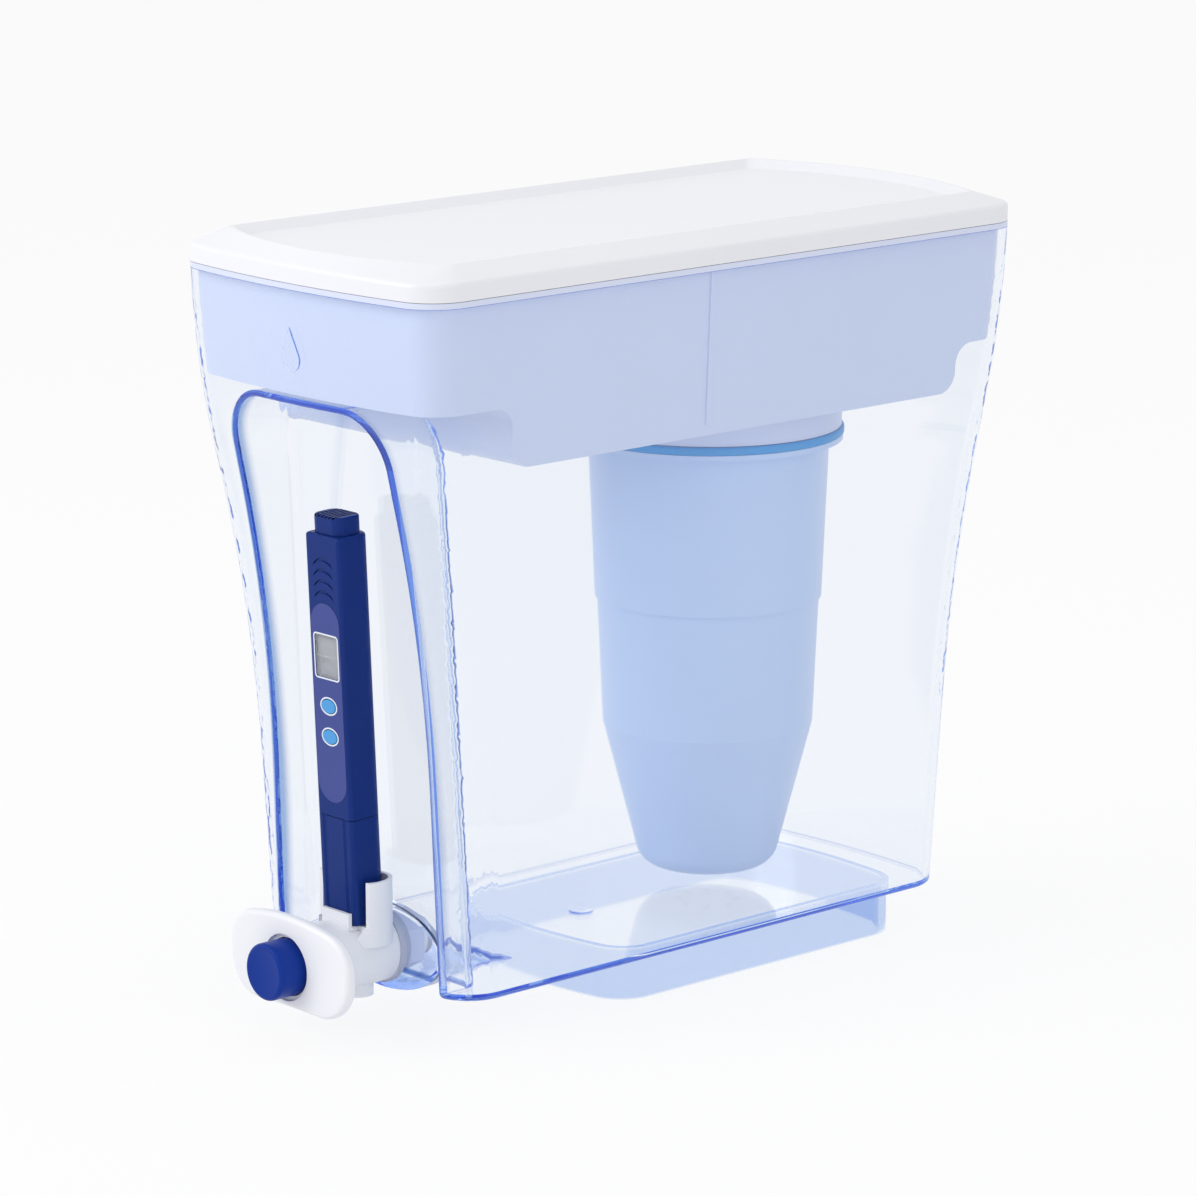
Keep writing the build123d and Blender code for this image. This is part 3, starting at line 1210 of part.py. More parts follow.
with BuildPart() as meter_battery_cap:
    with BuildSketch(METER_PLANE.offset(CASE_TOP + METER_SEAM / 2)):
        RectangleRounded(
            METER_WIDTH - 2 * BATTERY_CAP_INSET, METER_DEPTH - 2 * BATTERY_CAP_INSET, BATTERY_CAP_ROUND
        )
    extrude(amount=BATTERY_CAP_RISE - METER_SEAM / 2)
    fillet(meter_battery_cap.faces().sort_by(Axis.Z)[-1].edges(), BATTERY_CAP_EDGE)
    add(meter_round(CELL_BORE - METER_FIT, CELLS_TOP + METER_FIT, CASE_TOP + METER_SEAM))
    with BuildSketch(METER_PLANE.offset(CASE_TOP + BATTERY_CAP_RISE - BATTERY_RIDGE_DEPTH)):
        with GridLocations(BATTERY_RIDGE_PITCH, 0, BATTERY_RIDGES, 1):
            Rectangle(BATTERY_RIDGE_WIDTH, METER_DEPTH)
    extrude(amount=CUT, mode=Mode.SUBTRACT)
out_of(meter_battery_cap.part, "meter_battery_cap")

with BuildPart() as meter_probe_plug:
    add(meter_bar(NECK_BORE_INSET + PLUG_CLEARANCE, NECK_BASE, NECK_BASE + PLUG_LENGTH))
    add(meter_bar(NECK_INSET, NECK_BASE - PLUG_FLANGE, NECK_BASE))
    with BuildSketch(METER_PLANE.offset(NECK_BASE - CUT)):
        with GridLocations(ELECTRODE_SPACING, 0, 2, 1):
            Circle(ELECTRODE_RADIUS)
    extrude(amount=2 * CUT, mode=Mode.SUBTRACT)
out_of(meter_probe_plug.part, "meter_probe_plug")

with BuildPart() as meter_electrodes:
    with BuildSketch(METER_PLANE.offset(NECK_BASE - PLUG_FLANGE - ELECTRODE_REACH)):
        with GridLocations(ELECTRODE_SPACING, 0, 2, 1):
            Circle(ELECTRODE_RADIUS)
    extrude(amount=ELECTRODE_REACH + PLUG_FLANGE + PLUG_LENGTH + ELECTRODE_TAIL)
out_of(meter_electrodes.part, "meter_electrodes")

with BuildPart() as meter_cap:
    add(meter_bar(0, 0, CAP_LENGTH))
    fillet(meter_cap.faces().sort_by(Axis.Z)[0].edges(), METER_EDGE)
    add(meter_bar(METER_WALL, CAP_FLOOR, CAP_LENGTH), mode=Mode.SUBTRACT)
    with BuildSketch(METER_PLANE.offset(-CUT)):
        with Locations(
            (-CAP_FLUTE_X, METER_FRONT + CAP_FLUTE_DEPTH - CAP_FLUTE_RADIUS),
            (CAP_FLUTE_X, METER_FRONT + CAP_FLUTE_DEPTH - CAP_FLUTE_RADIUS),
        ):
            Circle(CAP_FLUTE_RADIUS)
    extrude(amount=2 * CUT, mode=Mode.SUBTRACT)
out_of(meter_cap.part, "meter_cap")
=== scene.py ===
import math

import bmesh
import bpy
from mathutils import Matrix, Vector


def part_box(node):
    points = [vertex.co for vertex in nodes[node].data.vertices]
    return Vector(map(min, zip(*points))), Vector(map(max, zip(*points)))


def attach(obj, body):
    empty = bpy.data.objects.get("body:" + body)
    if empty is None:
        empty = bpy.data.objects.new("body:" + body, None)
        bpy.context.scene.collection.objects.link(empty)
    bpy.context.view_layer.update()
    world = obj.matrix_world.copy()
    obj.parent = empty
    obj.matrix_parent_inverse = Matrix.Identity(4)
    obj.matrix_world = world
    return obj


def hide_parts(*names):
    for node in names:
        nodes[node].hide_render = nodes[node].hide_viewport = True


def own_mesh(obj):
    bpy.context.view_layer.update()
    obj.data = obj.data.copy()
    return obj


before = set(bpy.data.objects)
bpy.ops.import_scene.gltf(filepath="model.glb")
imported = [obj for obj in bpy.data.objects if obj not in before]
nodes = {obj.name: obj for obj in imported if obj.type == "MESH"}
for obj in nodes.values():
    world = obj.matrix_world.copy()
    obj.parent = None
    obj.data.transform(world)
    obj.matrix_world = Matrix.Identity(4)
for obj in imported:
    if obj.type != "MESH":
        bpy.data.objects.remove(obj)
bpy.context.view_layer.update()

# Tank: one clear injection moulding, faintly blue, with a skirt foot and a niche for the meter.
# Its walls are thin and polished, so the tint only gathers along edges and corners.
MM = 0.001
NOISE_LOW, NOISE_HIGH = 0.3, 0.7
DRIFT_DETAIL = 3
GRAIN_DETAIL = 2
GRAIN_DEPTH = 0.1 * MM


def new_group(name, inputs, outputs):
    """An empty shader node group with named float or colour sockets."""
    group = bpy.data.node_groups.new(name, "ShaderNodeTree")
    for socket, kind in inputs:
        group.interface.new_socket(socket, in_out="INPUT", socket_type=kind)
    for socket, kind in outputs:
        group.interface.new_socket(socket, in_out="OUTPUT", socket_type=kind)
    return group, group.nodes.new("NodeGroupInput"), group.nodes.new("NodeGroupOutput")


def feed(tree, socket, value):
    """Links a socket to another one, or sets it to a plain value."""
    if isinstance(value, bpy.types.NodeSocket):
        tree.links.new(value, socket)
    else:
        socket.default_value = value


def reckon(tree, operation, *values):
    """A Math node over sockets and numbers."""
    node = tree.nodes.new("ShaderNodeMath")
    node.operation = operation
    for socket, value in zip(node.inputs, values):
        feed(tree, socket, value)
    return node.outputs["Value"]


def mixed(tree, factor, first, second, blend="MIX"):
    """A Mix node that goes from one colour to another."""
    node = tree.nodes.new("ShaderNodeMix")
    node.data_type = "RGBA"
    node.blend_type = blend
    for socket, value in (("Factor", factor), ("A", first), ("B", second)):
        feed(tree, node.inputs[socket], value)
    return node.outputs["Result"]


def noise_in(group, scale_from, detail):
    """Noise on the piece's own coordinates, its scale taken from a socket of the group."""
    place = group.nodes.new("ShaderNodeTexCoord")
    noise = group.nodes.new("ShaderNodeTexNoise")
    noise.inputs["Detail"].default_value = detail
    group.links.new(place.outputs["Object"], noise.inputs["Vector"])
    group.links.new(scale_from, noise.inputs["Scale"])
    return noise.outputs["Fac"]


def spread_in(group, noise, low, high):
    """A value between two sockets or numbers, by a noise."""
    reach = group.nodes.new("ShaderNodeMapRange")
    reach.inputs["From Min"].default_value = NOISE_LOW
    reach.inputs["From Max"].default_value = NOISE_HIGH
    group.links.new(noise, reach.inputs["Value"])
    feed(group, reach.inputs["To Min"], low)
    feed(group, reach.inputs["To Max"], high)
    return reach.outputs["Result"]


def moulded_skin_group():
    """Moulded plastic: a slow drift of shade, uneven gloss and a fine spark-eroded grain."""
    number, colour = "NodeSocketFloat", "NodeSocketColor"
    group, given, made = new_group(
        "moulded_skin",
        [
            ("Colour", colour),
            ("Drift", number),
            ("Drift Scale", number),
            ("Gloss Low", number),
            ("Gloss High", number),
            ("Grain Scale", number),
        ],
        [("Colour", colour), ("Roughness", number), ("Height", number)],
    )
    drift = noise_in(group, given.outputs["Drift Scale"], DRIFT_DETAIL)
    darkest = reckon(group, "SUBTRACT", 1.0, given.outputs["Drift"])
    shade = spread_in(group, drift, darkest, 1.0)
    tint = mixed(group, 1.0, given.outputs["Colour"], shade, "MULTIPLY")
    gloss = spread_in(group, drift, given.outputs["Gloss Low"], given.outputs["Gloss High"])
    grain = noise_in(group, given.outputs["Grain Scale"], GRAIN_DETAIL)
    group.links.new(tint, made.inputs["Colour"])
    group.links.new(gloss, made.inputs["Roughness"])
    group.links.new(grain, made.inputs["Height"])
    return group


MOULDED_SKIN = moulded_skin_group()


def shader_of(material):
    """The Principled shader of a material."""
    return material.node_tree.nodes["Principled BSDF"]


def moulded(name, colour, drift=0.03, gloss=(0.3, 0.4), grain=900.0, bump=0.02, drift_scale=18.0):
    """A material with the moulded skin, for plastic, rubber, film or plain metal."""
    material = bpy.data.materials.new(name)
    material.use_nodes = True
    tree = material.node_tree
    shader = shader_of(material)
    skin = tree.nodes.new("ShaderNodeGroup")
    skin.node_tree = MOULDED_SKIN
    skin.inputs["Colour"].default_value = (*colour, 1)
    skin.inputs["Drift"].default_value = drift
    skin.inputs["Drift Scale"].default_value = drift_scale
    skin.inputs["Gloss Low"].default_value = gloss[0]
    skin.inputs["Gloss High"].default_value = gloss[1]
    skin.inputs["Grain Scale"].default_value = grain
    relief = tree.nodes.new("ShaderNodeBump")
    relief.inputs["Strength"].default_value = bump
    relief.inputs["Distance"].default_value = GRAIN_DEPTH
    tree.links.new(skin.outputs["Colour"], shader.inputs["Base Color"])
    tree.links.new(skin.outputs["Roughness"], shader.inputs["Roughness"])
    tree.links.new(skin.outputs["Height"], relief.inputs["Height"])
    tree.links.new(relief.outputs["Normal"], shader.inputs["Normal"])
    return material


def dress(material, *names):
    """Gives CAD nodes their material."""
    for name in names:
        mesh = nodes[name].data
        mesh.materials.clear()
        mesh.materials.append(material)


clear_plastic = moulded(
    "clear_plastic",
    (0.99, 0.995, 1.0),
    drift=0.006,
    gloss=(0.015, 0.05),
    grain=40.0,
    bump=0.01,
    drift_scale=9.0,
)
clear_tree = clear_plastic.node_tree
clear_shader = shader_of(clear_plastic)
clear_shader.inputs["Transmission Weight"].default_value = 1.0
clear_shader.inputs["IOR"].default_value = 1.5
depth_tint = clear_tree.nodes.new("ShaderNodeVolumeAbsorption")
depth_tint.inputs["Color"].default_value = (0.07, 0.40, 0.95, 1)
depth_tint.inputs["Density"].default_value = 14.0
clear_output = clear_tree.nodes["Material Output"]
clear_tree.links.new(depth_tint.outputs["Volume"], clear_output.inputs["Volume"])

# The plastic is seen end on along the niche's rim, the tank's lower edge and the foot, and is bluest there;
# that blue is painted shade, mixed into the walls' colour by masks.
# The rim follows the niche's arched outline on the bowed front, whose place is a curve of the height.
RIM_HALF, RIM_SLOPE = 43.71 * MM, 0.01193
RIM_TOP, RIM_ARCH = 227.5 * MM, 19.0 * MM
FRONT_LOW, FRONT_RISE, FRONT_BOW = -122.6 * MM, 0.0549, -0.6756
RIM_WIDTH = (1.2 * MM, 2.2 * MM)
RIM_DEPTH = (2.0 * MM, 7.0 * MM)
EDGE_BELOW = (18.3 * MM, 18.05 * MM)
EDGE_ABOVE = (19.8 * MM, 20.6 * MM)
FOOT_TOP = (16.6 * MM, 17.6 * MM)
EDGE_PAINTED_SHADE = (0.13, 0.25, 0.56, 1)
FOOT_PAINTED_SHADE = (0.58, 0.69, 0.92, 1)


def fade(tree, value, full, none):
    """A mask: 1 up to one reading of a value and 0 past another, smooth between them."""
    node = tree.nodes.new("ShaderNodeMapRange")
    node.interpolation_type = "SMOOTHSTEP"
    node.inputs["From Min"].default_value = none
    node.inputs["From Max"].default_value = full
    tree.links.new(value, node.inputs["Value"])
    return node.outputs["Result"]


def tank_painted_shade_group():
    """Masks for the painted shade along the niche's rim with the tank's lower edge, and over the foot."""
    number = "NodeSocketFloat"
    group, _, made = new_group("tank_edges", [], [("Edge", number), ("Foot", number)])
    place = group.nodes.new("ShaderNodeTexCoord")
    apart = group.nodes.new("ShaderNodeSeparateXYZ")
    group.links.new(place.outputs["Object"], apart.inputs["Vector"])
    x, y, z = apart.outputs
    straight_half = reckon(group, "MULTIPLY_ADD", z, -RIM_SLOPE, RIM_HALF - RIM_ARCH)
    sideways = reckon(group, "SUBTRACT", reckon(group, "ABSOLUTE", x), straight_half)
    across = reckon(group, "MAXIMUM", sideways, 0)
    upward = reckon(group, "SUBTRACT", z, RIM_TOP - RIM_ARCH)
    above = reckon(group, "MAXIMUM", upward, 0)
    square = reckon(group, "MULTIPLY_ADD", across, across, reckon(group, "MULTIPLY", above, above))
    off_outline = reckon(group, "SUBTRACT", reckon(group, "SQRT", square), RIM_ARCH)
    away = reckon(group, "ABSOLUTE", off_outline)
    lean = reckon(group, "MULTIPLY_ADD", z, FRONT_BOW, FRONT_RISE)
    front = reckon(group, "MULTIPLY_ADD", z, lean, FRONT_LOW)
    depth = reckon(group, "SUBTRACT", y, front)
    rim = reckon(group, "MULTIPLY", fade(group, away, *RIM_WIDTH), fade(group, depth, *RIM_DEPTH))
    lower = reckon(group, "MULTIPLY", fade(group, z, *EDGE_BELOW), fade(group, z, *EDGE_ABOVE))
    group.links.new(reckon(group, "MAXIMUM", rim, lower), made.inputs["Edge"])
    group.links.new(fade(group, z, *FOOT_TOP), made.inputs["Foot"])
    return group


edges = clear_tree.nodes.new("ShaderNodeGroup")
edges.node_tree = tank_painted_shade_group()
wall_shade = clear_shader.inputs["Base Color"].links[0].from_socket
# Painted shade: the rim and the lower edge are painted dark blue, and the foot a paler blue.
edge_painted_shade = mixed(clear_tree, edges.outputs["Edge"], wall_shade, EDGE_PAINTED_SHADE)
foot_painted_shade = mixed(clear_tree, edges.outputs["Foot"], edge_painted_shade, FOOT_PAINTED_SHADE)
clear_tree.links.new(foot_painted_shade, clear_shader.inputs["Base Color"])

# Light passes straight through the walls to what stands inside, and light that has run along
# inside a wall from reflection to reflection comes out of it bluer.
TRAPPED_REFLECTIONS = 3.0
PASSING_LIGHT = (0.95, 0.97, 1.0, 1)
TRAPPED_LIGHT = (0.58, 0.71, 0.94, 1)


def lets_light_in(material, trapped_light):
    """Lets lamps light what stands behind a clear wall, and light trapped in the wall come out."""
    tree = material.node_tree
    path = tree.nodes.new("ShaderNodeLightPath")
    trapped = reckon(tree, "GREATER_THAN", path.outputs["Glossy Depth"], TRAPPED_REFLECTIONS)
    passing = reckon(tree, "MAXIMUM", path.outputs["Is Shadow Ray"], path.outputs["Is Diffuse Ray"])
    through = reckon(tree, "MAXIMUM", passing, trapped)
    straight = tree.nodes.new("ShaderNodeBsdfTransparent")
    tree.links.new(mixed(tree, trapped, PASSING_LIGHT, trapped_light), straight.inputs["Color"])
    wall = tree.nodes.new("ShaderNodeMixShader")
    tree.links.new(through, wall.inputs["Fac"])
    tree.links.new(shader_of(material).outputs["BSDF"], wall.inputs[1])
    tree.links.new(straight.outputs["BSDF"], wall.inputs[2])
    tree.links.new(wall.outputs["Shader"], tree.nodes["Material Output"].inputs["Surface"])


lets_light_in(clear_plastic, TRAPPED_LIGHT)
dress(clear_plastic, "tank")

# The tank's faces meet in narrow slivers, so its shading follows the larger faces beside them.
SEAM_WELD = 0.005 * MM
CREASE_ANGLE = math.radians(25)
LARGE_FACE_WEIGHT = 50


def even_shading(name):
    """Shades a CAD node by the area of its faces, so that slivers along a seam don't show."""
    weld = nodes[name].modifiers.new("weld", "WELD")
    weld.merge_threshold = SEAM_WELD
    crease = nodes[name].modifiers.new("crease", "EDGE_SPLIT")
    crease.split_angle = CREASE_ANGLE
    crease.use_edge_sharp = False
    even = nodes[name].modifiers.new("even", "WEIGHTED_NORMAL")
    even.mode = "FACE_AREA_WITH_ANGLE"
    even.weight = LARGE_FACE_WEIGHT


even_shading("tank")

# Tap: barrel, shank and wing plate moulded in white plastic, pulled tight through the tank's boss
# by a nylon nut between two rubber washers. A stem behind the navy button works the valve.
tap_white = moulded("tap_white", (0.88, 0.89, 0.93), gloss=(0.28, 0.38))
dress(tap_white, "spigot_body", "spigot_wing_plate", "valve_stem")
tap_navy = moulded("tap_navy", (0.004, 0.034, 0.28), drift=0.08, gloss=(0.3, 0.42))
shader_of(tap_navy).inputs["Specular IOR Level"].default_value = 0.12
dress(tap_navy, "tap_button")
washer_rubber = moulded("washer_rubber", (0.52, 0.54, 0.66), drift=0.1, gloss=(0.55, 0.7), bump=0.05)
dress(washer_rubber, "spigot_outer_gasket", "spigot_inner_gasket", "stem_seal", "valve_seal")
nut_nylon = moulded("nut_nylon", (0.66, 0.70, 0.90), gloss=(0.4, 0.5))
dress(nut_nylon, "spigot_nut")

# Return spring: a coil of steel wire that stands on the divider in the barrel and carries the button.
WELD_DISTANCE = 0.001 * MM
spring_steel = moulded("spring_steel", (0.58, 0.58, 0.60), drift=0.12, gloss=(0.2, 0.32))
shader_of(spring_steel).inputs["Metallic"].default_value = 1.0
dress(spring_steel, "spigot_spring")


def finished(bm, name, material, body):
    """Makes a piece of a bmesh and sets it on its body."""
    mesh = bpy.data.meshes.new(name)
    bm.to_mesh(mesh)
    bm.free()
    mesh.materials.append(material)
    piece = bpy.data.objects.new(name, mesh)
    bpy.context.scene.collection.objects.link(piece)
    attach(piece, body)
    return piece


coil = bmesh.new()
coil.from_mesh(nodes["spigot_spring"].data)
bmesh.ops.remove_doubles(coil, verts=coil.verts, dist=WELD_DISTANCE)
for face in coil.faces:
    face.smooth = True
spring = finished(coil, "tap_return_spring", spring_steel, "tank")
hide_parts("spigot_spring")
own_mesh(spring)

# Meter holder: a white saddle clipped on the tap's barrel, with tall sides and a low front lip.
# It is moulded in the tap's plastic, and the meter's cap stands in it.
dress(tap_white, "meter_holder")


# Pocket meter: a navy case with a printed film on its face, a window over the display, two keys,
# a cap over the electrodes and a ridged battery cap. Board, cells and contacts lie inside.
def case_plastic(name):
    """The navy plastic of the meter's case and caps."""
    material = moulded(name, (0.005, 0.028, 0.19), drift=0.08, gloss=(0.26, 0.38))
    shader_of(material).inputs["Specular IOR Level"].default_value = 0.14
    return material


dress(case_plastic("meter_navy"), "meter_case", "meter_cap")
face_film = moulded("face_film", (0.055, 0.075, 0.29), drift=0.05, gloss=(0.38, 0.46))
shader_of(face_film).inputs["Specular IOR Level"].default_value = 0.2
dress(face_film, "meter_label")
key_blue = moulded("key_blue", (0.055, 0.33, 0.72), gloss=(0.35, 0.45))
dress(key_blue, "meter_power_button", "meter_hold_button")
window_clear = moulded("window_clear", (0.97, 0.98, 1.0), drift=0.01, gloss=(0.02, 0.04), bump=0.0)
shader_of(window_clear).inputs["Transmission Weight"].default_value = 1.0
shader_of(window_clear).inputs["IOR"].default_value = 1.49
WINDOW_TRAPPED_LIGHT = (0.9, 0.92, 0.95, 1)
lets_light_in(window_clear, WINDOW_TRAPPED_LIGHT)
dress(window_clear, "meter_window")
display_grey = moulded("display_grey", (0.66, 0.67, 0.69), drift=0.12, gloss=(0.2, 0.3), drift_scale=60.0)
dress(display_grey, "meter_lcd")
board_green = moulded("board_green", (0.02, 0.16, 0.06), drift=0.2, gloss=(0.3, 0.5), drift_scale=300.0)
dress(board_green, "meter_circuit_board")
cell_steel = moulded("cell_steel", (0.62, 0.62, 0.64), drift=0.1, gloss=(0.16, 0.28))
shader_of(cell_steel).inputs["Metallic"].default_value = 1.0
dress(cell_steel, "meter_batteries", "meter_electrodes")
contact_brass = moulded("contact_brass", (0.72, 0.50, 0.20), drift=0.12, gloss=(0.2, 0.35))
shader_of(contact_brass).inputs["Metallic"].default_value = 1.0
dress(contact_brass, "battery_contacts")
plug_black = moulded("plug_black", (0.012, 0.013, 0.018), drift=0.2, gloss=(0.4, 0.55))
dress(plug_black, "meter_probe_plug")

# Battery cap: moulded in the case's navy and pushed into the top of the case, which leans a little.
# The grooves across its top are narrow and lie in shade.
METER_LEAN = math.radians(2.6)
FACE_UP = Vector((0, -math.sin(METER_LEAN), math.cos(METER_LEAN)))
GROOVE_PITCH = 1.9 * MM
GROOVE_HALF_SHARES = (0.245, 0.262)
GROOVE_REACH = (5.3 * MM, 5.5 * MM)
GROOVE_MOUTH = (0.15 * MM, 0.05 * MM)
GROOVE_FLOOR = (0.62 * MM, 0.72 * MM)
GROOVE_SHADE = (0.001, 0.004, 0.03, 1)
cap_navy = case_plastic("cap_navy")
dress(cap_navy, "meter_battery_cap")
cap_top = max(FACE_UP.dot(corner.co) for corner in nodes["meter_battery_cap"].data.vertices)
cap_tree = cap_navy.node_tree
cap_place = cap_tree.nodes.new("ShaderNodeTexCoord")
cap_apart = cap_tree.nodes.new("ShaderNodeSeparateXYZ")
cap_tree.links.new(cap_place.outputs["Object"], cap_apart.inputs["Vector"])
rise = cap_tree.nodes.new("ShaderNodeVectorMath")
rise.operation = "DOT_PRODUCT"
rise.inputs[1].default_value = FACE_UP
cap_tree.links.new(cap_place.outputs["Object"], rise.inputs[0])
beneath = reckon(cap_tree, "SUBTRACT", cap_top, rise.outputs["Value"])
across_cap = cap_apart.outputs["X"]
pitch_share = reckon(cap_tree, "FRACT", reckon(cap_tree, "DIVIDE", across_cap, GROOVE_PITCH))
off_groove = reckon(cap_tree, "ABSOLUTE", reckon(cap_tree, "SUBTRACT", pitch_share, 0.5))
off_middle = reckon(cap_tree, "ABSOLUTE", across_cap)
in_groove = fade(cap_tree, off_groove, *GROOVE_HALF_SHARES)
for reading, limits in ((off_middle, GROOVE_REACH), (beneath, GROOVE_MOUTH), (beneath, GROOVE_FLOOR)):
    in_groove = reckon(cap_tree, "MULTIPLY", in_groove, fade(cap_tree, reading, *limits))
cap_colour = shader_of(cap_navy).inputs["Base Color"]
cap_plain = cap_colour.links[0].from_socket
cap_tree.links.new(mixed(cap_tree, in_groove, cap_plain, GROOVE_SHADE), cap_colour)

# Prints on the meter's film: a white ring round each key and a white frame round the window.
# They are screen printed, so they stand only a hair above the film.
FACE_OUT = Vector((0, -math.cos(METER_LEAN), -math.sin(METER_LEAN)))
FILM_FRONT = 0.26 * MM
PRINT_THICKNESS = 0.06 * MM
KEY_HALF = (4.1 * MM, 2.8 * MM)
KEY_RING = 0.55 * MM
KEY_RING_SIDES = 64
WINDOW_HALF = (6.2 * MM, 7.8 * MM)
WINDOW_FRAME = 0.55 * MM
WINDOW_CORNER = 1.5 * MM
WINDOW_CORNER_STEPS = 6
print_white = moulded("print_white", (0.80, 0.86, 0.93), gloss=(0.45, 0.55))


def printed_ring(bm, width):
    """Turns a flat face into a thin raised ring of that width along its outline."""
    whole = bm.faces[:]
    bmesh.ops.inset_region(bm, faces=whole, thickness=width, use_even_offset=True, use_boundary=True)
    bmesh.ops.delete(bm, geom=whole, context="FACES")
    raised = bmesh.ops.extrude_face_region(bm, geom=bm.faces[:])
    lifted = [part for part in raised["geom"] if isinstance(part, bmesh.types.BMVert)]
    bmesh.ops.translate(bm, verts=lifted, vec=(0, 0, PRINT_THICKNESS))
    bmesh.ops.recalc_face_normals(bm, faces=bm.faces)


def onto_face(bm, node):
    """Moves a print drawn flat in X and Y onto the meter's leaning face, over the middle of a node."""
    low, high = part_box(node)
    middle = (low + high) / 2
    film_low, film_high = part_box("meter_label")
    film_middle = (film_low + film_high) / 2
    depth = (film_middle - middle).dot(FACE_OUT) + FILM_FRONT
    across = Vector((1, 0, 0))
    turn = Matrix((across, FACE_UP, FACE_OUT)).transposed().to_4x4()
    bmesh.ops.transform(bm, matrix=Matrix.Translation(middle + FACE_OUT * depth) @ turn, verts=bm.verts)


for node in ("meter_power_button", "meter_hold_button"):
    ring = bmesh.new()
    bmesh.ops.create_circle(ring, cap_ends=True, segments=KEY_RING_SIDES, radius=1.0)
    ring_outer = (KEY_HALF[0] + KEY_RING, KEY_HALF[1] + KEY_RING, 1)
    bmesh.ops.scale(ring, vec=ring_outer, verts=ring.verts)
    printed_ring(ring, KEY_RING)
    onto_face(ring, node)
    finished(ring, node.replace("button", "ring"), print_white, "meter")

border = bmesh.new()
bmesh.ops.create_grid(border, x_segments=1, y_segments=1, size=1.0)
border_outer = (WINDOW_HALF[0] + WINDOW_FRAME, WINDOW_HALF[1] + WINDOW_FRAME, 1)
bmesh.ops.scale(border, vec=border_outer, verts=border.verts)
bmesh.ops.bevel(
    border,
    geom=border.verts,
    offset=WINDOW_CORNER,
    affect="VERTICES",
    segments=WINDOW_CORNER_STEPS,
    profile=0.5,
    material=-1,
)
printed_ring(border, WINDOW_FRAME)
onto_face(border, "meter_window")
finished(border, "meter_window_frame", print_white, "meter")

# Basin: a deep tray in milky plastic that hangs in the tank's mouth by its rim.
# A round collar under its floor holds the cartridge by a bayonet.
basin_milk = moulded("basin_milk", (0.70, 0.75, 0.92), drift_scale=8.0)
dress(basin_milk, "upper_reservoir")
even_shading("upper_reservoir")

# Filter cartridge: two pale blue shells welded at a seam, with a soft blue ring under the collar.
# A grille, foam, carbon, resin and a pad lie inside.
shell_blue = moulded("shell_blue", (0.585, 0.715, 0.95), drift=0.04, gloss=(0.3, 0.42), drift_scale=14.0)
dress(shell_blue, "filter_upper_shell", "filter_lower_shell")
ring_rubber = moulded("ring_rubber", (0.025, 0.34, 0.74), drift=0.08, gloss=(0.4, 0.5))
dress(ring_rubber, "filter_gasket")
grille_white = moulded("grille_white", (0.82, 0.84, 0.90), gloss=(0.35, 0.45))
dress(grille_white, "filter_inlet_screen")
fleece = moulded("fleece", (0.80, 0.81, 0.82), drift=0.15, gloss=(0.85, 0.95), grain=700.0, bump=0.5)
dress(fleece, "filter_foam", "filter_outlet_pad")
carbon_grains = moulded("carbon_grains", (0.02, 0.02, 0.022), drift=0.5, gloss=(0.6, 0.9), bump=0.8)
dress(carbon_grains, "filter_carbon")
resin_beads = moulded(
    "resin_beads", (0.55, 0.38, 0.14), drift=0.3, gloss=(0.3, 0.5), grain=1100.0, bump=0.8
)
dress(resin_beads, "filter_resin")

# Lid: a white lift-off cover with a raised crest round a sunk panel.
# Its band sits on the basin's rim.
lid_white = moulded("lid_white", (0.86, 0.865, 0.91), gloss=(0.3, 0.42), drift_scale=6.0)
dress(lid_white, "lid")

# Stage: a pale floor, soft studio light and the camera where the photograph was taken.
# Rays from the camera and from clear or glossy surfaces meet white; the rest is lit at a plain level.
PLAIN_LEVEL = 0.72
FLOOR_HALF = 6.0
FLOOR_WHITENESS = 0.85


def seen_white(tree):
    """1 for rays that should meet a white background, 0 for those that carry light."""
    path = tree.nodes.new("ShaderNodeLightPath")
    mirrored = reckon(tree, "MAXIMUM", path.outputs["Is Camera Ray"], path.outputs["Is Glossy Ray"])
    return reckon(tree, "MAXIMUM", mirrored, path.outputs["Is Transmission Ray"])


world = bpy.data.worlds.new("studio")
bpy.context.scene.world = world
world.use_nodes = True
sky = world.node_tree
level = sky.nodes.new("ShaderNodeMapRange")
level.inputs["To Min"].default_value = PLAIN_LEVEL
level.inputs["To Max"].default_value = 1.0
sky.links.new(seen_white(sky), level.inputs["Value"])
sky.links.new(level.outputs["Result"], sky.nodes["Background"].inputs["Strength"])
sky.nodes["Background"].inputs["Color"].default_value = (1, 1, 1, 1)

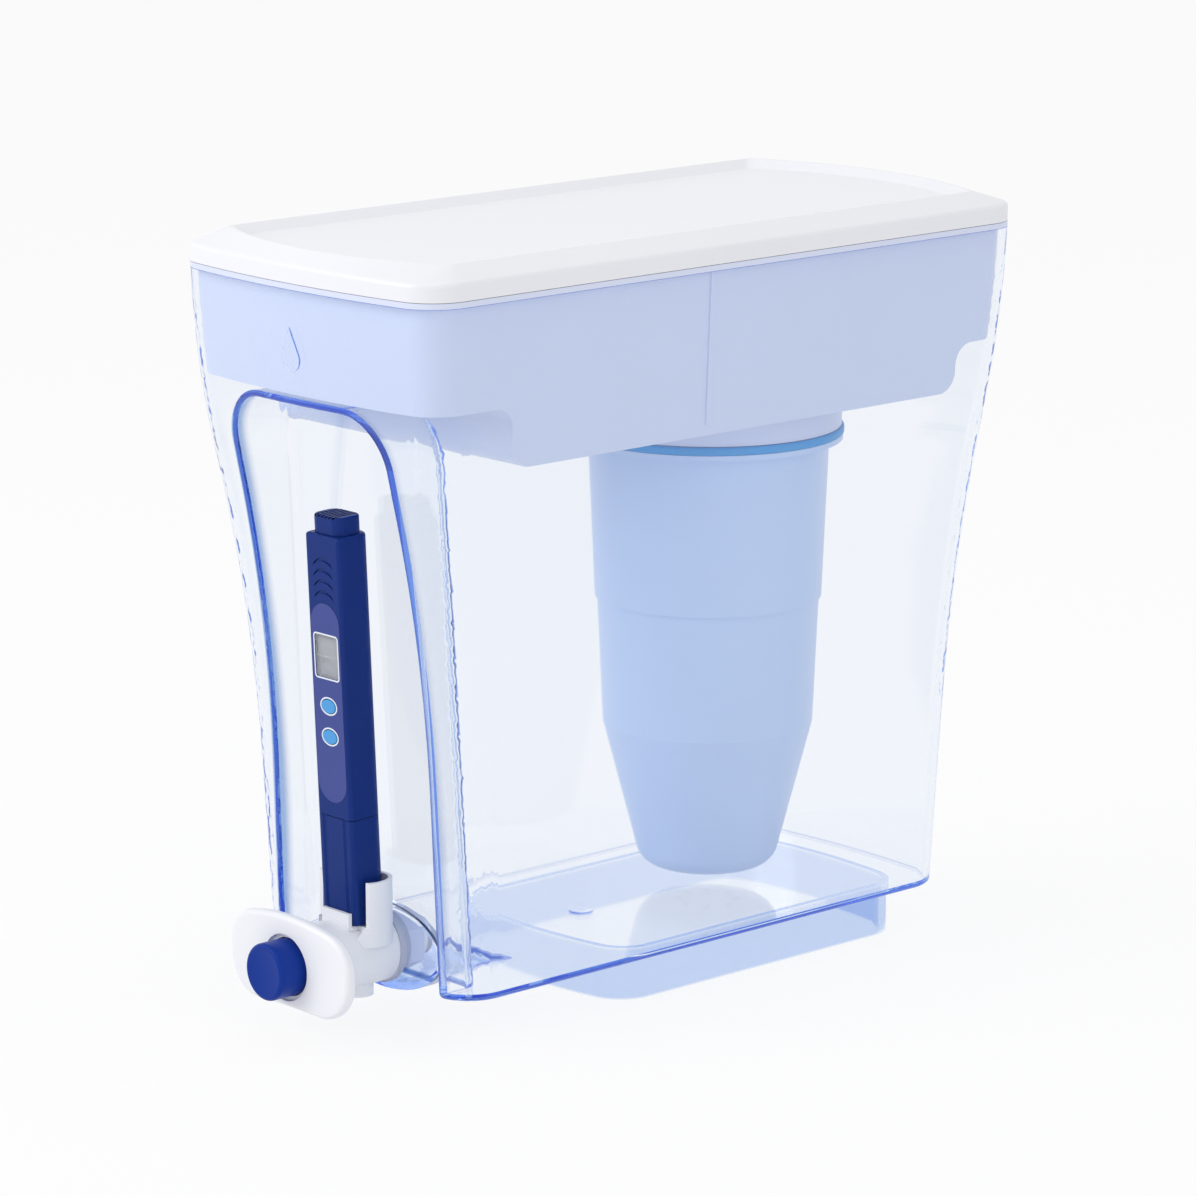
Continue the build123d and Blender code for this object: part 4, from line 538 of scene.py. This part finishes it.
ground = bmesh.new()
bmesh.ops.create_grid(ground, x_segments=1, y_segments=1, size=FLOOR_HALF)
ground_mesh = bpy.data.meshes.new("floor")
ground.to_mesh(ground_mesh)
ground.free()
floor = bpy.data.objects.new("floor", ground_mesh)
bpy.context.scene.collection.objects.link(floor)
floor_pale = bpy.data.materials.new("floor_pale")
floor_pale.use_nodes = True
paper = floor_pale.node_tree
paper_shader = shader_of(floor_pale)
paper_shader.inputs["Base Color"].default_value = (0.92, 0.92, 0.92, 1)
paper_shader.inputs["Roughness"].default_value = 0.9
paper_shader.inputs["Specular IOR Level"].default_value = 0.0
glow = paper.nodes.new("ShaderNodeEmission")
blend = paper.nodes.new("ShaderNodeMixShader")
paper.links.new(reckon(paper, "MULTIPLY", seen_white(paper), FLOOR_WHITENESS), blend.inputs["Fac"])
paper.links.new(paper_shader.outputs["BSDF"], blend.inputs[1])
paper.links.new(glow.outputs["Emission"], blend.inputs[2])
paper.links.new(blend.outputs["Shader"], paper.nodes["Material Output"].inputs["Surface"])
ground_mesh.materials.append(floor_pale)

LAMPS_AIM = Vector((0, 0, 0.15))


def soft_lamp(name, place, size, watts):
    """A square soft light that points at the middle of the object."""
    data = bpy.data.lights.new(name, "AREA")
    data.size = size
    data.energy = watts
    lamp = bpy.data.objects.new(name, data)
    lamp.location = place
    lamp.rotation_euler = (LAMPS_AIM - Vector(place)).to_track_quat("-Z", "Y").to_euler()
    bpy.context.scene.collection.objects.link(lamp)


soft_lamp("key", place=(-0.7, -1.6, 1.1), size=1.2, watts=12.5)
soft_lamp("fill", place=(1.7, -0.5, 0.7), size=1.2, watts=3.0)
soft_lamp("top", place=(0.2, 0.2, 1.9), size=1.4, watts=4.0)

AZIMUTH = math.radians(47.72)
ELEVATION = math.radians(12.69)
TARGET = Vector((0, -0.00287, 0.13984))
DISTANCE = 1.92313
back = Vector(
    (
        math.sin(AZIMUTH) * math.cos(ELEVATION),
        -math.cos(AZIMUTH) * math.cos(ELEVATION),
        math.sin(ELEVATION),
    )
)
view = bpy.data.cameras.new("photo_view")
view.sensor_width = 36.0
view.lens = 157.376
view.shift_x = -0.00415
view.shift_y = -0.00508
camera = bpy.data.objects.new("photo_view", view)
camera.location = TARGET + back * DISTANCE
camera.rotation_euler = back.to_track_quat("Z", "Y").to_euler()
bpy.context.scene.collection.objects.link(camera)
bpy.context.scene.camera = camera
bpy.context.scene.view_settings.view_transform = "Standard"
